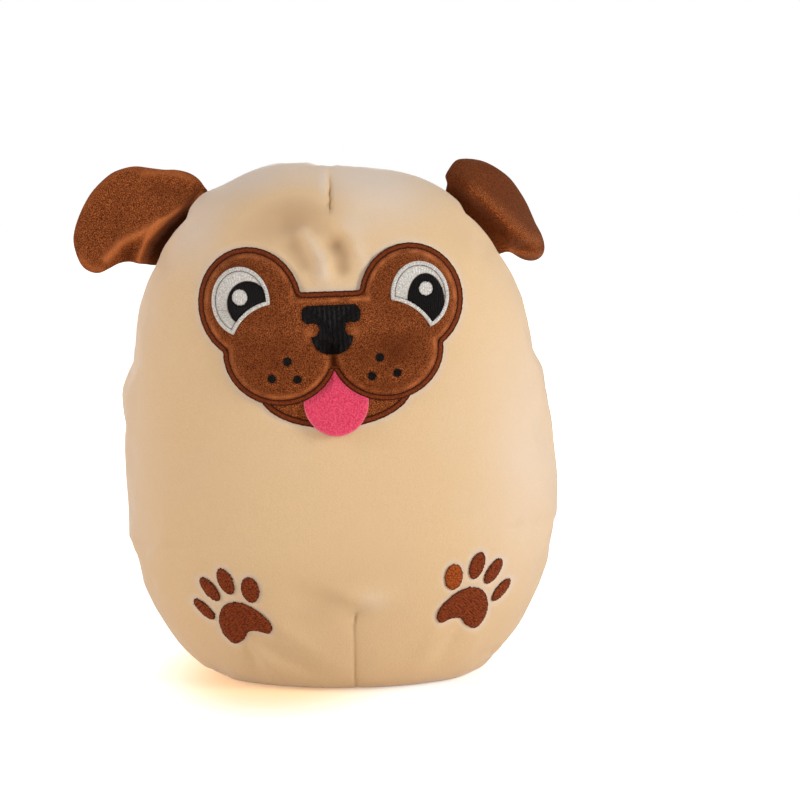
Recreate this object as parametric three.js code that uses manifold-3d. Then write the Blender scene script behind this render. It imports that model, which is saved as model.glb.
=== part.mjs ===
// Plush pug: a seated pillow toy of short-pile cloth over polyester filling.
// Millimetres, +Z up, the face looks along -Y. Left and right are as seen from the front.
import * as THREE from "three";
import { mergeVertices } from "three/addons/utils/BufferGeometryUtils.js";
import Module from "manifold-3d";

const wasm = await Module();
wasm.setup();

// Cloth, filling and the clearance between pieces that touch
const clothThickness = 2;
const seamAllowance = 6;
const clearance = 0.3;
const overrun = 40;
const weldDistance = 1e-4;

// The stuffed body: a swollen form that is widest low down and flat-crowned
const bodyHalfWidth = 105;
const bodyHalfDepth = 80;
const bodyWaistHeight = 76;
const bodyCrownRise = 175.4;
const bodyFootDrop = 113.4;
const sectionFullness = 2.15;
const crownFullness = 2.63;
const footFullness = 1.68;
const crownSlumpShare = 0.044;
const leanAngle = THREE.MathUtils.degToRad(3.15);
const settleRadius = 5.5;
const standingFlatDepth = 0.5;
const crownRows = 10;
const footRows = 9;
const panelColumnAngles = [3.2, 7.5, 15, 25, 36, 48, 60, 71, 81, 90];
const fillColumnAngles = [7.5, 25, 45, 66, 90];

// Darts that take in the cloth at the crown and under the belly
const middleShift = 3;
const dartDepth = 2.6;
const dartHalfWidth = 3.2;
const crownDartEnd = 214;
const crownDartRun = 22;
const footDartEnd = 50;
const footDartRun = 16;

// Muzzle: a padded patch of two eye lobes, two cheeks and the bridge between them
const muzzleShift = 0.6;
const muzzleHeight = 165.2;
const cheek = { spread: 24.6, rise: 0, halfWidth: 26.1, halfHeight: 23.4, puff: 4.6 };
const lobe = { spread: 37.5, rise: 22.6, halfWidth: 24, halfHeight: 25.4, puff: 2.6 };
const bridgeRise = 27.1;
const jaw = { drop: 17.7, halfWidth: 36, halfHeight: 17 };
const patchThickness = 1.5;
const waddingInset = 7;
const borderWidth = 2.4;
const borderThickness = 1.9;
const threadThickness = 0.9;

// Eyes; each looks to the right, its pupil and glint placed from the middle of the white
const eye = { spread: 41.4, rise: 24.1, halfWidth: 13.6, halfHeight: 15.5, rimWidth: 1.7 };
const eyeCutRadius = 22.6;
const leftGaze = {
  pupil: { across: 2.5, up: -1.1, halfWidth: 8.5, halfHeight: 10 },
  glint: { across: -0.2, up: 1.9, radius: 3.6 },
};
const rightGaze = {
  pupil: { across: 2.6, up: -3, halfWidth: 8.5, halfHeight: 12.6 },
  glint: { across: 2.8, up: 2.8, radius: 3.2 },
};

// Nose, with a nostril notch on each side of its stem
const nose = { rise: 21.2, halfWidth: 13.4, barDepth: 8, barCornerRadius: 3.6 };
const nostril = { spread: 8.4, drop: 10.5, radius: 2.9 };
const noseTip = { halfWidth: 9.4, start: 13, drop: 9.5 };

// Whisker dots, from the middle outwards: how far out and how far down, in cheek half widths
const whiskerDotRadius = 1.9;
const whiskerDotShares = [[0.65, 0.44], [0.81, 0.12], [1.1, 0.41]];

// Felt tongue, sewn under the lips and free below its corners
const tongue = { halfWidth: 14.9, cornerDrop: 22.7, rootRise: 10.8, drop: 15.6 };
const feltThickness = 1.6;
const tongueLift = 3;

// Embroidered paws
const pawStandOff = 0.55;
const pawSpread = 51.2;
const pawHeight = 38.7;
const pawHalfWidth = 12.5;
const pawOutlineShares = [
  [-1, -0.14], [-0.8, 0.28], [-0.24, 0.72], [0.3, 0.88], [0.78, 0.7], [1, 0.14],
  [0.88, -0.46], [0.5, -0.86], [0.12, -0.68], [-0.1, -0.34], [-0.46, -0.3], [-0.86, -0.4],
];
const toeShares = [
  { across: -0.29, up: 1.38, halfLength: 0.51, halfWidth: 0.34, turn: 6.7 },
  { across: 0.62, up: 1.7, halfLength: 0.54, halfWidth: 0.28, turn: 20.7 },
  { across: 1.25, up: 1.37, halfLength: 0.55, halfWidth: 0.25, turn: 35.5 },
  { across: 1.54, up: 0.53, halfLength: 0.53, halfWidth: 0.22, turn: 43 },
];

// Ears: padded leaves sewn into the side seam, each on a line of stitches that it swings about
const earRoot = { height: 238.7, drop: 34.7, beyondSeamAbove: 3.4, beyondSeamBelow: -0.6 };
const earStandOff = 2.8;
const earReach = 46.2;
const earOutlineShares = [
  [0, 0], [-0.035, 0.29], [0.045, 0.46], [0.21, 0.74], [0.34, 0.89], [0.54, 0.97], [0.78, 1],
  [1.02, 0.97], [1.22, 0.88], [1.38, 0.72], [1.44, 0.54], [1.36, 0.42], [1.2, 0.34],
  [1.09, 0.22], [1, 0],
];
const earOutlinePoints = 24;
const earRings = 4;
const earHalfThickness = 3.6;
const earClothThickness = 1.3;
const earRootRadius = 2;
const earFoldHeight = 9;
const earCrestSlope = 0.42;
const earMiddleShares = [0.62, 0.5];
const leftEarPose = { swing: 0, topTurn: 0, tipTurn: 0 };
const rightEarPose = { swing: -58, topTurn: 26, tipTurn: -12 };
const earTabThickness = 2;
const earTabLengthShare = 0.76;
const earTabDepth = 5;

// Grid of the sewn-on pieces and roundness of their outlines
const patchStep = 8;
const outlineSteps = 11;
const dotSteps = 6;
const arcSteps = 3;

const cloth = (color, roughness = 0.95) =>
  new THREE.MeshStandardMaterial({ color, roughness, metalness: 0 });
const creamCloth = cloth(0xe2c79f);
const brownCloth = cloth(0x8c4826);
const darkBrownThread = cloth(0x6e2f17, 0.6);
const pawThread = cloth(0x70301c, 0.6);
const whiteThread = cloth(0xcdcac5, 0.5);
const blackThread = cloth(0x1b1515, 0.6);
const pinkFelt = cloth(0xe8537c);
const fibre = cloth(0xf4f2ee, 1);

const sides = [
  { name: "left", sign: -1, gaze: leftGaze, earPose: leftEarPose },
  { name: "right", sign: 1, gaze: rightGaze, earPose: rightEarPose },
];

// Solids between three.js geometry and the boolean library
function toSolid(geometry) {
  const bare = geometry.clone();
  bare.deleteAttribute("normal");
  bare.deleteAttribute("uv");
  const merged = mergeVertices(bare, weldDistance);
  return new wasm.Manifold(
    new wasm.Mesh({
      numProp: 3,
      vertProperties: new Float32Array(merged.attributes.position.array),
      triVerts: new Uint32Array(merged.index.array),
    }),
  );
}

function toGeometry(solid) {
  const mesh = solid.getMesh();
  const geometry = new THREE.BufferGeometry();
  const positions = new Float32Array(mesh.numVert * 3);
  for (let i = 0; i < mesh.numVert; i += 1) {
    const start = i * mesh.numProp;
    positions.set(mesh.vertProperties.subarray(start, start + 3), i * 3);
  }
  geometry.setAttribute("position", new THREE.BufferAttribute(positions, 3));
  geometry.setIndex([...mesh.triVerts]);
  geometry.computeVertexNormals();
  return geometry;
}

// A surface through rows of points; crossed says which diagonal splits its squares
function fromGrid(rows, closed, crossed = false) {
  const positions = rows.flat(2);
  const width = rows[0].length;
  const faces = [];
  const quad = (a, b, c, d) => faces.push(...(crossed ? [a, b, d, b, c, d] : [a, b, c, a, c, d]));
  for (let r = 0; r + 1 < rows.length; r += 1) {
    for (let c = 0; c < (closed ? width : width - 1); c += 1) {
      const next = (c + 1) % width;
      quad(r * width + c, r * width + next, (r + 1) * width + next, (r + 1) * width + c);
    }
  }
  return { positions, faces };
}

function solidFrom(positions, faces) {
  const geometry = new THREE.BufferGeometry();
  geometry.setAttribute("position", new THREE.Float32BufferAttribute(positions, 3));
  geometry.setIndex(faces);
  return toSolid(geometry);
}

const union = (solids) => solids.reduce((whole, solid) => whole.add(solid));

// The body's width and depth at a height, as a share of its greatest
function girthShare(height) {
  const above = height > bodyWaistHeight;
  const reach = above ? bodyCrownRise : bodyFootDrop;
  const fullness = above ? crownFullness : footFullness;
  const rise = Math.min(1, Math.abs(height - bodyWaistHeight) / reach);
  return (1 - rise ** fullness) ** (1 / fullness);
}

// Depth of the body's front at a place seen from the front
function frontAt(x, z) {
  const share = girthShare(z);
  const across = Math.min(1, Math.abs(x) / (bodyHalfWidth * share));
  return -bodyHalfDepth * share * (1 - across ** sectionFullness) ** (1 / sectionFullness);
}

const smooth = (share) => {
  const held = Math.min(1, Math.max(0, share));
  return held * held * (3 - 2 * held);
};

// How far a dart draws the cloth in
function dartAt(x, z) {
  const crown = smooth((z - crownDartEnd) / crownDartRun);
  const foot = smooth((footDartEnd - z) / footDartRun);
  const valley = Math.exp(-((x / dartHalfWidth) ** 2));
  return dartDepth * Math.max(crown, foot) * valley;
}

// The crown slumps a little to one side
function slump([x, y, z]) {
  const rise = Math.max(0, z - bodyWaistHeight) / bodyCrownRise;
  return [x, y, z - crownSlumpShare * x * Math.min(1, rise * rise)];
}

function lean([x, y, z]) {
  const [c, s] = [Math.cos(leanAngle), Math.sin(leanAngle)];
  return [x * c - z * s, y, x * s + z * c];
}

// The filling's weight flattens the foot on what the toy sits on
function settle([x, y, z], floor) {
  return [x, y, floor + settleRadius * Math.log1p(Math.exp((z - floor) / settleRadius))];
}

// One closed skin of the body, drawn in by an inset; columns are degrees from the front middle
function bodySkin(inset, columnAngles, rowCount) {
  const halfTurn = [...columnAngles].reverse().map((a) => -a).concat([0], columnAngles);
  const front = halfTurn.map((a) => THREE.MathUtils.degToRad(a));
  const back = front.slice(1, -1).map((a) => Math.PI + a);
  const columns = front.concat(back);
  const floor = inset - standingFlatDepth;
  const place = (column, rowAngle) => {
    const above = rowAngle > 0;
    const fullness = above ? crownFullness : footFullness;
    const reach = (above ? bodyCrownRise : bodyFootDrop) - inset;
    const girth = Math.cos(rowAngle) ** (2 / fullness);
    const rise = reach * Math.sign(rowAngle) * Math.abs(Math.sin(rowAngle)) ** (2 / fullness);
    const z = bodyWaistHeight + rise;
    const [sin, cos] = [Math.sin(column), Math.cos(column)];
    const drawn = (middleShift / bodyHalfWidth) * cos * cos;
    const across = Math.sign(sin) * Math.abs(sin) ** (2 / sectionFullness) + drawn;
    const deep = Math.sign(cos) * (1 - Math.abs(across) ** sectionFullness) ** (1 / sectionFullness);
    const x = (bodyHalfWidth - inset) * girth * across;
    const y = -(bodyHalfDepth - inset) * girth * deep;
    const valley = dartAt(x - bodyHalfWidth * girth * drawn, z);
    const length = Math.hypot(y, z - bodyWaistHeight) || 1;
    const point = [x, y - (valley * y) / length, z - (valley * (z - bodyWaistHeight)) / length];
    return settle(lean(slump(point)), floor);
  };
  const rows = [];
  for (let r = 1 - rowCount.foot; r < rowCount.crown; r += 1) {
    const share = r / (r < 0 ? rowCount.foot : rowCount.crown);
    rows.push(columns.map((column) => place(column, (share * Math.PI) / 2)));
  }
  const { positions, faces } = fromGrid(rows, true);
  const width = columns.length;
  const lastRow = (rows.length - 1) * width;
  const foot = rows.length * width;
  positions.push(...place(0, -Math.PI / 2 + 1e-6), ...place(0, Math.PI / 2 - 1e-6));
  for (let c = 0; c < width; c += 1) {
    const next = (c + 1) % width;
    faces.push(foot, next, c, foot + 1, lastRow + c, lastRow + next);
  }
  return solidFrom(positions, faces);
}

// The half of space in front of a depth, and the space above the ground, as blocks
function block(xs, ys, zs) {
  const geometry = new THREE.BoxGeometry(xs[1] - xs[0], ys[1] - ys[0], zs[1] - zs[0]);
  geometry.translate((xs[0] + xs[1]) / 2, (ys[0] + ys[1]) / 2, (zs[0] + zs[1]) / 2);
  return toSolid(geometry);
}

const reachAcross = bodyHalfWidth + overrun;
const reachUp = bodyWaistHeight + bodyCrownRise + overrun;
const frontOf = (y) => block([-reachAcross, reachAcross], [-reachAcross, y], [0, reachUp]);
const behind = (y) => block([-reachAcross, reachAcross], [y, reachAcross], [0, reachUp]);
const between = (y0, y1) => block([-reachAcross, reachAcross], [y0, y1], [-overrun, reachUp]);

// Pieces sewn or stitched on the front: a slab that follows the body, cut to an outline
function prism(outline, steps = outlineSteps) {
  const depth = bodyHalfDepth + overrun;
  const settings = { depth, bevelEnabled: false, curveSegments: steps };
  return toSolid(new THREE.ExtrudeGeometry(outline, settings).rotateX(Math.PI / 2));
}

function ellipse(x, z, halfWidth, halfHeight, steps, turn = 0) {
  const ring = new THREE.Shape();
  return prism(ring.absellipse(x, z, halfWidth, halfHeight, 0, 2 * Math.PI, false, turn), steps);
}

function slab({ min, max }, back, front) {
  const lines = (low, high) => {
    const first = Math.floor(low / patchStep);
    const last = Math.ceil(high / patchStep);
    return Array.from({ length: last - first + 1 }, (_, i) => (first + i) * patchStep);
  };
  const xs = lines(min[0], max[0]);
  const zs = lines(min[2], max[2]);
  const level = (lift) => zs.map((z) => xs.map((x) => [x, frontAt(x, z) - lift(x, z), z]));
  const face = fromGrid(level(front), false);
  const under = fromGrid(level(back), false);
  const count = xs.length * zs.length;
  const faces = [...face.faces];
  for (let i = 0; i < under.faces.length; i += 3) {
    const [a, b, c] = under.faces.slice(i, i + 3);
    faces.push(a + count, c + count, b + count);
  }
  const rim = [];
  for (let i = 0; i < xs.length; i += 1) rim.push(i);
  for (let j = 1; j < zs.length; j += 1) rim.push(j * xs.length + xs.length - 1);
  for (let i = xs.length - 2; i >= 0; i -= 1) rim.push((zs.length - 1) * xs.length + i);
  for (let j = zs.length - 2; j > 0; j -= 1) rim.push(j * xs.length);
  rim.forEach((a, i) => {
    const b = rim[(i + 1) % rim.length];
    faces.push(b, a, a + count, b, a + count, b + count);
  });
  return solidFrom(face.positions.concat(under.positions), faces);
}

const largest = (solid) =>
  solid.decompose().reduce((best, part) => (part.volume() > best.volume() ? part : best));

const sewn = (outline, back, front) =>
  largest(slab(outline.boundingBox(), back, front).intersect(outline));

const pug = new THREE.Group();
const upright = new THREE.Group();
upright.rotation.y = -leanAngle;
pug.add(upright);

function addMesh(group, name, geometry, material) {
  const mesh = new THREE.Mesh(geometry, material);
  mesh.name = name;
  group.add(mesh);
  return mesh;
}

// A piece made in the straight frame follows the crown's slump
function addSewn(name, solid, material) {
  const geometry = toGeometry(solid);
  const place = geometry.attributes.position;
  for (let i = 0; i < place.count; i += 1) {
    place.setXYZ(i, ...slump([place.getX(i), place.getY(i), place.getZ(i)]));
  }
  return addMesh(upright, name, geometry, material);
}

// Ears and the tabs that carry them
const seamAt = (height, beyond) => ({ spread: bodyHalfWidth * girthShare(height) + beyond, height });
const earRootTop = seamAt(earRoot.height, earRoot.beyondSeamAbove);
const earRootBottom = seamAt(earRoot.height - earRoot.drop, earRoot.beyondSeamBelow);
const earRootLength = Math.hypot(
  earRootBottom.spread - earRootTop.spread,
  earRootBottom.height - earRootTop.height,
);

// Frame of an ear: x runs down its root, y outwards, z to the front
function earFrame({ sign }) {
  const top = new THREE.Vector3(...slump([sign * earRootTop.spread, 0, earRootTop.height]));
  const bottom = new THREE.Vector3(...slump([sign * earRootBottom.spread, 0, earRootBottom.height]));
  const down = bottom.clone().sub(top).normalize();
  const front = new THREE.Vector3(0, -1, 0);
  const out = new THREE.Vector3(-down.z, 0, down.x).multiplyScalar(sign);
  const origin = top.addScaledVector(out, earStandOff);
  return new THREE.Matrix4().makeBasis(down, out, front).setPosition(origin);
}

function earTabBlock(grown) {
  const length = earRootLength * earTabLengthShare + 2 * grown;
  const inner = -earStandOff - earTabDepth - grown;
  const outer = -clearance;
  const thickness = earTabThickness + 2 * grown;
  const geometry = new THREE.BoxGeometry(length, outer - inner, thickness);
  return geometry.translate(earRootLength / 2, (inner + outer) / 2, 0);
}

// The height of the ear's middle above its root plane: it folds along a crest that starts at the
// top of the root and runs down to the tip
function earFold(along, out) {
  const crest = Math.max(earRootRadius, earCrestSlope * along);
  const rise = smooth(along / earRootLength);
  const beyond = smooth((out - crest) / earReach);
  return earFoldHeight * rise * smooth(out / crest) * (1 - beyond / 2);
}

const earOutline = new THREE.CatmullRomCurve3(
  [...earOutlineShares, [0.75, 0], [0.5, 0], [0.25, 0]].map(
    ([along, out]) => new THREE.Vector3(along * earRootLength, out * earReach, 0),
  ),
  true,
)
  .getSpacedPoints(earOutlinePoints)
  .slice(1)
  .map((p) => new THREE.Vector2(p.x, Math.max(0, p.y)));
const earMiddle = new THREE.Vector2(
  earRootLength * earMiddleShares[0],
  earReach * earMiddleShares[1],
);
const earLength = Math.max(...earOutline.map((p) => p.x));

// A point of the ear, lifted off its middle surface and turned about the root by the ear's twist
function earPoint({ x, y }, lift, pose) {
  const turn = THREE.MathUtils.lerp(pose.topTurn, pose.tipTurn, smooth(x / earLength));
  const [c, s] = [Math.cos, Math.sin].map((f) => f(THREE.MathUtils.degToRad(turn)));
  const [out, up] = [y - earRootRadius, earFold(x, y) + lift];
  return [x, earRootRadius + out * c - up * s, out * s + up * c];
}

// A ring of the ear at a share of the way out
const earRing = (share, lift, pose) =>
  earOutline.map((edge) => earPoint(earMiddle.clone().lerp(edge, share), lift, pose));

const earBulge = (share, halfThickness) => halfThickness * Math.sqrt(1 - share ** 3);
const earRingShares = Array.from({ length: earRings }, (_, i) =>
  Math.sin(((i + 1) / earRings) * (Math.PI / 2)),
);

// Closes rings into one solid, with a point in the middle of the first and the last
function ringedSolid(rings, ends, crossed) {
  const { positions, faces } = fromGrid(rings, true, crossed);
  const width = rings[0].length;
  const last = (rings.length - 1) * width;
  const middle = rings.length * width;
  positions.push(...ends.flat());
  for (let c = 0; c < width; c += 1) {
    const next = (c + 1) % width;
    faces.push(middle, next, c, middle + 1, last + c, last + next);
  }
  return solidFrom(positions, faces);
}

const earSeamShare = 1 - (2 * earClothThickness) / earReach;
const earFillShares = earRingShares.map((share) => share * earSeamShare);
earFillShares.push(earFillShares.pop() - (2 * clearance) / earReach);

function earPanel(facing, pose) {
  const seam = (facing * clearance) / 2;
  const hollow = earHalfThickness - earClothThickness;
  const outer = earRingShares.map((share) =>
    earRing(share, seam + facing * earBulge(share, earHalfThickness), pose),
  );
  const inner = earRingShares.map((share) =>
    earRing(share * earSeamShare, seam + facing * earBulge(share, hollow), pose),
  );
  const rings = [...outer, ...inner.reverse()].map((ring) => (facing > 0 ? ring : ring.reverse()));
  const ends = [earHalfThickness, hollow].map((t) => earPoint(earMiddle, seam + facing * t, pose));
  return ringedSolid(rings, ends, false);
}

function earWadding(pose) {
  const thickness = earHalfThickness - earClothThickness - clearance;
  const ringsFacing = (facing) =>
    earFillShares.map((share, i) =>
      earRing(share, facing * earBulge(earRingShares[i], thickness), pose),
    );
  const rings = [...ringsFacing(1), ...ringsFacing(-1).slice(0, -1).reverse()];
  const ends = [thickness, -thickness].map((lift) => earPoint(earMiddle, lift, pose));
  return ringedSolid(rings, ends, true);
}

for (const side of sides) {
  const root = new THREE.Group();
  root.applyMatrix4(earFrame(side));
  upright.add(root);
  addMesh(root, `ear_tab_${side.name}`, earTabBlock(0), brownCloth);
  const swing = new THREE.Group();
  swing.name = `ear_hinge_${side.name}`;
  swing.position.y = earRootRadius;
  swing.rotation.x = THREE.MathUtils.degToRad(side.earPose.swing);
  root.add(swing);
  const leaf = new THREE.Group();
  leaf.position.y = -earRootRadius;
  swing.add(leaf);
  addMesh(leaf, `ear_front_${side.name}`, toGeometry(earPanel(1, side.earPose)), brownCloth);
  addMesh(leaf, `ear_back_${side.name}`, toGeometry(earPanel(-1, side.earPose)), brownCloth);
  addMesh(leaf, `ear_wadding_${side.name}`, toGeometry(earWadding(side.earPose)), fibre);
}

// Body: two panels of cloth, seamed round the sides with their edges turned in, over the filling
const panelRowCount = { crown: crownRows, foot: footRows };
const fillRowCount = { crown: crownRows / 2, foot: footRows - 3 };
const skinAt = (inset) => bodySkin(inset, fillColumnAngles, fillRowCount);
const cavity = skinAt(clothThickness);
const seamHole = skinAt(clothThickness + seamAllowance);
const earSlots = sides.map((side) => {
  const frame = earFrame({ sign: side.sign });
  const place = new THREE.Matrix4().makeRotationY(-leanAngle).multiply(frame);
  const geometry = earTabBlock(clearance);
  if (place.determinant() < 0) geometry.scale(1, 1, -1);
  return toSolid(geometry.applyMatrix4(place));
});

function bodyPanel(facing) {
  const half = facing > 0 ? frontOf : behind;
  const seam = (-facing * clearance) / 2;
  const outer = bodySkin(0, panelColumnAngles, panelRowCount).intersect(half(seam));
  const hollow = cavity.intersect(half(seam - facing * clothThickness));
  return largest(outer.subtract(union([hollow, seamHole, ...earSlots])));
}

addMesh(pug, "body_front_panel", toGeometry(bodyPanel(1)), creamCloth);
addMesh(pug, "body_back_panel", toGeometry(bodyPanel(-1)), creamCloth);

const groove = clearance / 2 + clothThickness + clearance;
const filling = skinAt(clothThickness + clearance)
  .subtract(between(-groove, groove))
  .add(skinAt(clothThickness + seamAllowance + clearance))
  .subtract(union(earSlots));
addMesh(pug, "body_filling", toGeometry(filling), fibre);

// Muzzle
const onMuzzle = (solid) => solid.translate([muzzleShift, 0, 0]);

function muzzleOutline(inset) {
  const ovals = sides.flatMap(({ sign }) =>
    [lobe, cheek].map(({ spread, rise, halfWidth, halfHeight }) =>
      ellipse(sign * spread, muzzleHeight + rise, halfWidth - inset, halfHeight - inset),
    ),
  );
  const halfBridge = lobe.spread - lobe.halfWidth / 2;
  const bridgeTop = muzzleHeight + bridgeRise - inset;
  const middle = new THREE.Shape()
    .moveTo(-halfBridge, muzzleHeight)
    .lineTo(halfBridge, muzzleHeight)
    .lineTo(halfBridge, bridgeTop)
    .lineTo(-halfBridge, bridgeTop);
  return onMuzzle(union([...ovals, prism(middle)]));
}

const jawOutline = (inset) =>
  onMuzzle(ellipse(0, muzzleHeight - jaw.drop, jaw.halfWidth - inset, jaw.halfHeight - inset));

function muzzlePuff(x, z) {
  const domes = [lobe, cheek].map((o) => {
    const across = (Math.abs(x - muzzleShift) - o.spread) / o.halfWidth;
    const up = (z - muzzleHeight - o.rise) / o.halfHeight;
    return o.puff * Math.max(0, 1 - across * across - up * up) ** 0.8;
  });
  return Math.max(...domes);
}

const seat = () => clearance;
const muzzleTop = (x, z) => clearance + patchThickness + muzzlePuff(x, z);
const muzzleFront = (thickness) => (x, z) => muzzleTop(x, z) + clearance + thickness;
const muzzleSeat = (x, z) => muzzleTop(x, z) + clearance;

const wadding = sewn(muzzleOutline(waddingInset), seat, (x, z) => clearance + muzzlePuff(x, z));
const pocketTop = (x, z) => 2 * clearance + muzzlePuff(x, z);
const pocket = sewn(muzzleOutline(waddingInset - clearance), () => 0, pocketTop);
const patch = sewn(muzzleOutline(borderWidth + clearance), seat, muzzleTop).subtract(pocket);
addSewn("muzzle_wadding", wadding, fibre);
addSewn("muzzle_patch", patch, brownCloth);

const borderTop = () => clearance + borderThickness;
const muzzleBorder = muzzleOutline(0).subtract(muzzleOutline(borderWidth));
addSewn("muzzle_border", sewn(muzzleBorder, seat, borderTop), darkBrownThread);

const belowMuzzle = muzzleOutline(-clearance);
const jawBorder = jawOutline(0).subtract(jawOutline(borderWidth)).subtract(belowMuzzle);
const jawPatch = jawOutline(borderWidth + clearance).subtract(belowMuzzle);
addSewn("jaw_border", sewn(jawBorder, seat, borderTop), darkBrownThread);
addSewn("jaw_patch", sewn(jawPatch, seat, () => clearance + patchThickness), brownCloth);

// Eyes: a satin rim, the white, the pupil and its glint, cut off below by the cheek
const eyeHeight = muzzleHeight + eye.rise;

function eyeOutline(sign, inset) {
  const ball = ellipse(sign * eye.spread, eyeHeight, eye.halfWidth - inset, eye.halfHeight - inset);
  const cut = ellipse(sign * cheek.spread, muzzleHeight, eyeCutRadius + inset, eyeCutRadius + inset);
  return onMuzzle(ball.subtract(cut));
}

const oval = (x, z, halfWidth, halfHeight, grown, steps) =>
  onMuzzle(ellipse(x, z, halfWidth + grown, halfHeight + grown, steps));

for (const { name, sign, gaze } of sides) {
  const { pupil, glint } = gaze;
  const middleX = sign * eye.spread;
  const pupilOval = (grown) =>
    oval(middleX + pupil.across, eyeHeight + pupil.up, pupil.halfWidth, pupil.halfHeight, grown);
  const glintOval = (grown) =>
    oval(middleX + glint.across, eyeHeight + glint.up, glint.radius, glint.radius, grown, dotSteps);
  const inner = eyeOutline(sign, eye.rimWidth + clearance);
  const stitched = (outline) => sewn(outline, muzzleSeat, muzzleFront(threadThickness));
  const rim = eyeOutline(sign, 0).subtract(eyeOutline(sign, eye.rimWidth));
  addSewn(`eye_rim_${name}`, stitched(rim), whiteThread);
  addSewn(`eye_white_${name}`, stitched(inner.subtract(pupilOval(clearance))), whiteThread);
  const iris = pupilOval(0).intersect(inner).subtract(glintOval(clearance));
  addSewn(`pupil_${name}`, stitched(iris), blackThread);
  addSewn(`glint_${name}`, stitched(glintOval(0)), whiteThread);
}

// Nose
function noseOutline() {
  const { halfWidth, barDepth, barCornerRadius: r } = nose;
  const top = muzzleHeight + nose.rise;
  const barBottom = top - barDepth;
  const quarter = Math.PI / 2;
  return onMuzzle(
    prism(
      new THREE.Shape()
        .moveTo(r - halfWidth, top)
        .absarc(halfWidth - r, top - r, r, quarter, 0, true)
        .absarc(halfWidth - r, barBottom + r, r, 0, -quarter, true)
        .absarc(nostril.spread, top - nostril.drop, nostril.radius, quarter, 3 * quarter, false)
        .absellipse(0, top - noseTip.start, noseTip.halfWidth, noseTip.drop, 0, -2 * quarter, true, 0)
        .absarc(-nostril.spread, top - nostril.drop, nostril.radius, -quarter, quarter, false)
        .absarc(r - halfWidth, barBottom + r, r, -quarter, -2 * quarter, true)
        .absarc(r - halfWidth, top - r, r, 2 * quarter, quarter, true),
      arcSteps,
    ),
  );
}
addSewn("nose", sewn(noseOutline(), muzzleSeat, muzzleFront(threadThickness)), blackThread);

for (const { name, sign } of sides) {
  whiskerDotShares.forEach(([spread, drop], i) => {
    const at = [sign * spread * cheek.halfWidth, muzzleHeight - drop * cheek.halfWidth];
    const outline = oval(...at, whiskerDotRadius, whiskerDotRadius, 0, dotSteps);
    const solid = sewn(outline, muzzleSeat, muzzleFront(threadThickness));
    addSewn(`whisker_dot_${name}_${i + 1}`, solid, blackThread);
  });
}

// Tongue: the part sewn under the lips, and the flap that hangs from it
const tongueBack = () => tongueLift;
const tongueFront = () => tongueLift + feltThickness;
const tongueCorner = muzzleHeight - tongue.cornerDrop;
const tongueRootShape = new THREE.Shape()
  .moveTo(-tongue.halfWidth, tongueCorner)
  .lineTo(tongue.halfWidth, tongueCorner)
  .lineTo(0, tongueCorner + tongue.rootRise);
const tongueRootOutline = onMuzzle(prism(tongueRootShape)).subtract(belowMuzzle);
const flapTop = tongueCorner - clearance;
const tongueFlapShape = new THREE.Shape()
  .absellipse(0, flapTop, tongue.halfWidth, tongue.drop, Math.PI, 2 * Math.PI, false, 0);
const tongueFlapOutline = onMuzzle(prism(tongueFlapShape));
addSewn("tongue_root", sewn(tongueRootOutline, tongueBack, tongueFront), pinkFelt);
addSewn("tongue_flap", sewn(tongueFlapOutline, tongueBack, tongueFront), pinkFelt);
const tongueHinge = new THREE.Group();
tongueHinge.name = "tongue_hinge";
tongueHinge.position.set(
  ...slump([muzzleShift, frontAt(muzzleShift, flapTop) - tongueFront(), flapTop]),
);
upright.add(tongueHinge);

// Paws
const pawPad = new THREE.CatmullRomCurve3(
  pawOutlineShares.map(([across, up]) => new THREE.Vector3(across, up, 0).multiplyScalar(pawHalfWidth)),
  true,
).getPoints(2 * outlineSteps);

for (const { name, sign } of sides) {
  const x = middleShift + sign * pawSpread;
  const stitched = (outline) => sewn(outline, () => pawStandOff, () => pawStandOff + threadThickness);
  const pad = new THREE.Shape(pawPad.map((p) => new THREE.Vector2(x + sign * p.x, pawHeight + p.y)));
  addSewn(`paw_pad_${name}`, stitched(prism(pad)), pawThread);
  toeShares.forEach((toe, i) => {
    const turn = -sign * THREE.MathUtils.degToRad(toe.turn);
    const at = [x + sign * toe.across * pawHalfWidth, pawHeight + toe.up * pawHalfWidth];
    const halfSizes = [toe.halfWidth * pawHalfWidth, toe.halfLength * pawHalfWidth];
    const outline = ellipse(...at, ...halfSizes, dotSteps, turn);
    addSewn(`paw_toe_${name}_${i + 1}`, stitched(outline), pawThread);
  });
}

// The origin is under the middle of the toy's bounding box, on what it sits on
pug.updateMatrixWorld(true);
const bounds = new THREE.Box3().setFromObject(pug, true);
const middle = bounds.getCenter(new THREE.Vector3());
pug.position.set(-middle.x, -middle.y, -bounds.min.z);

export default pug;
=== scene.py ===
import math

import bmesh
import bpy
import numpy as np
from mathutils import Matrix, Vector
from mathutils.bvhtree import BVHTree


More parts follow.
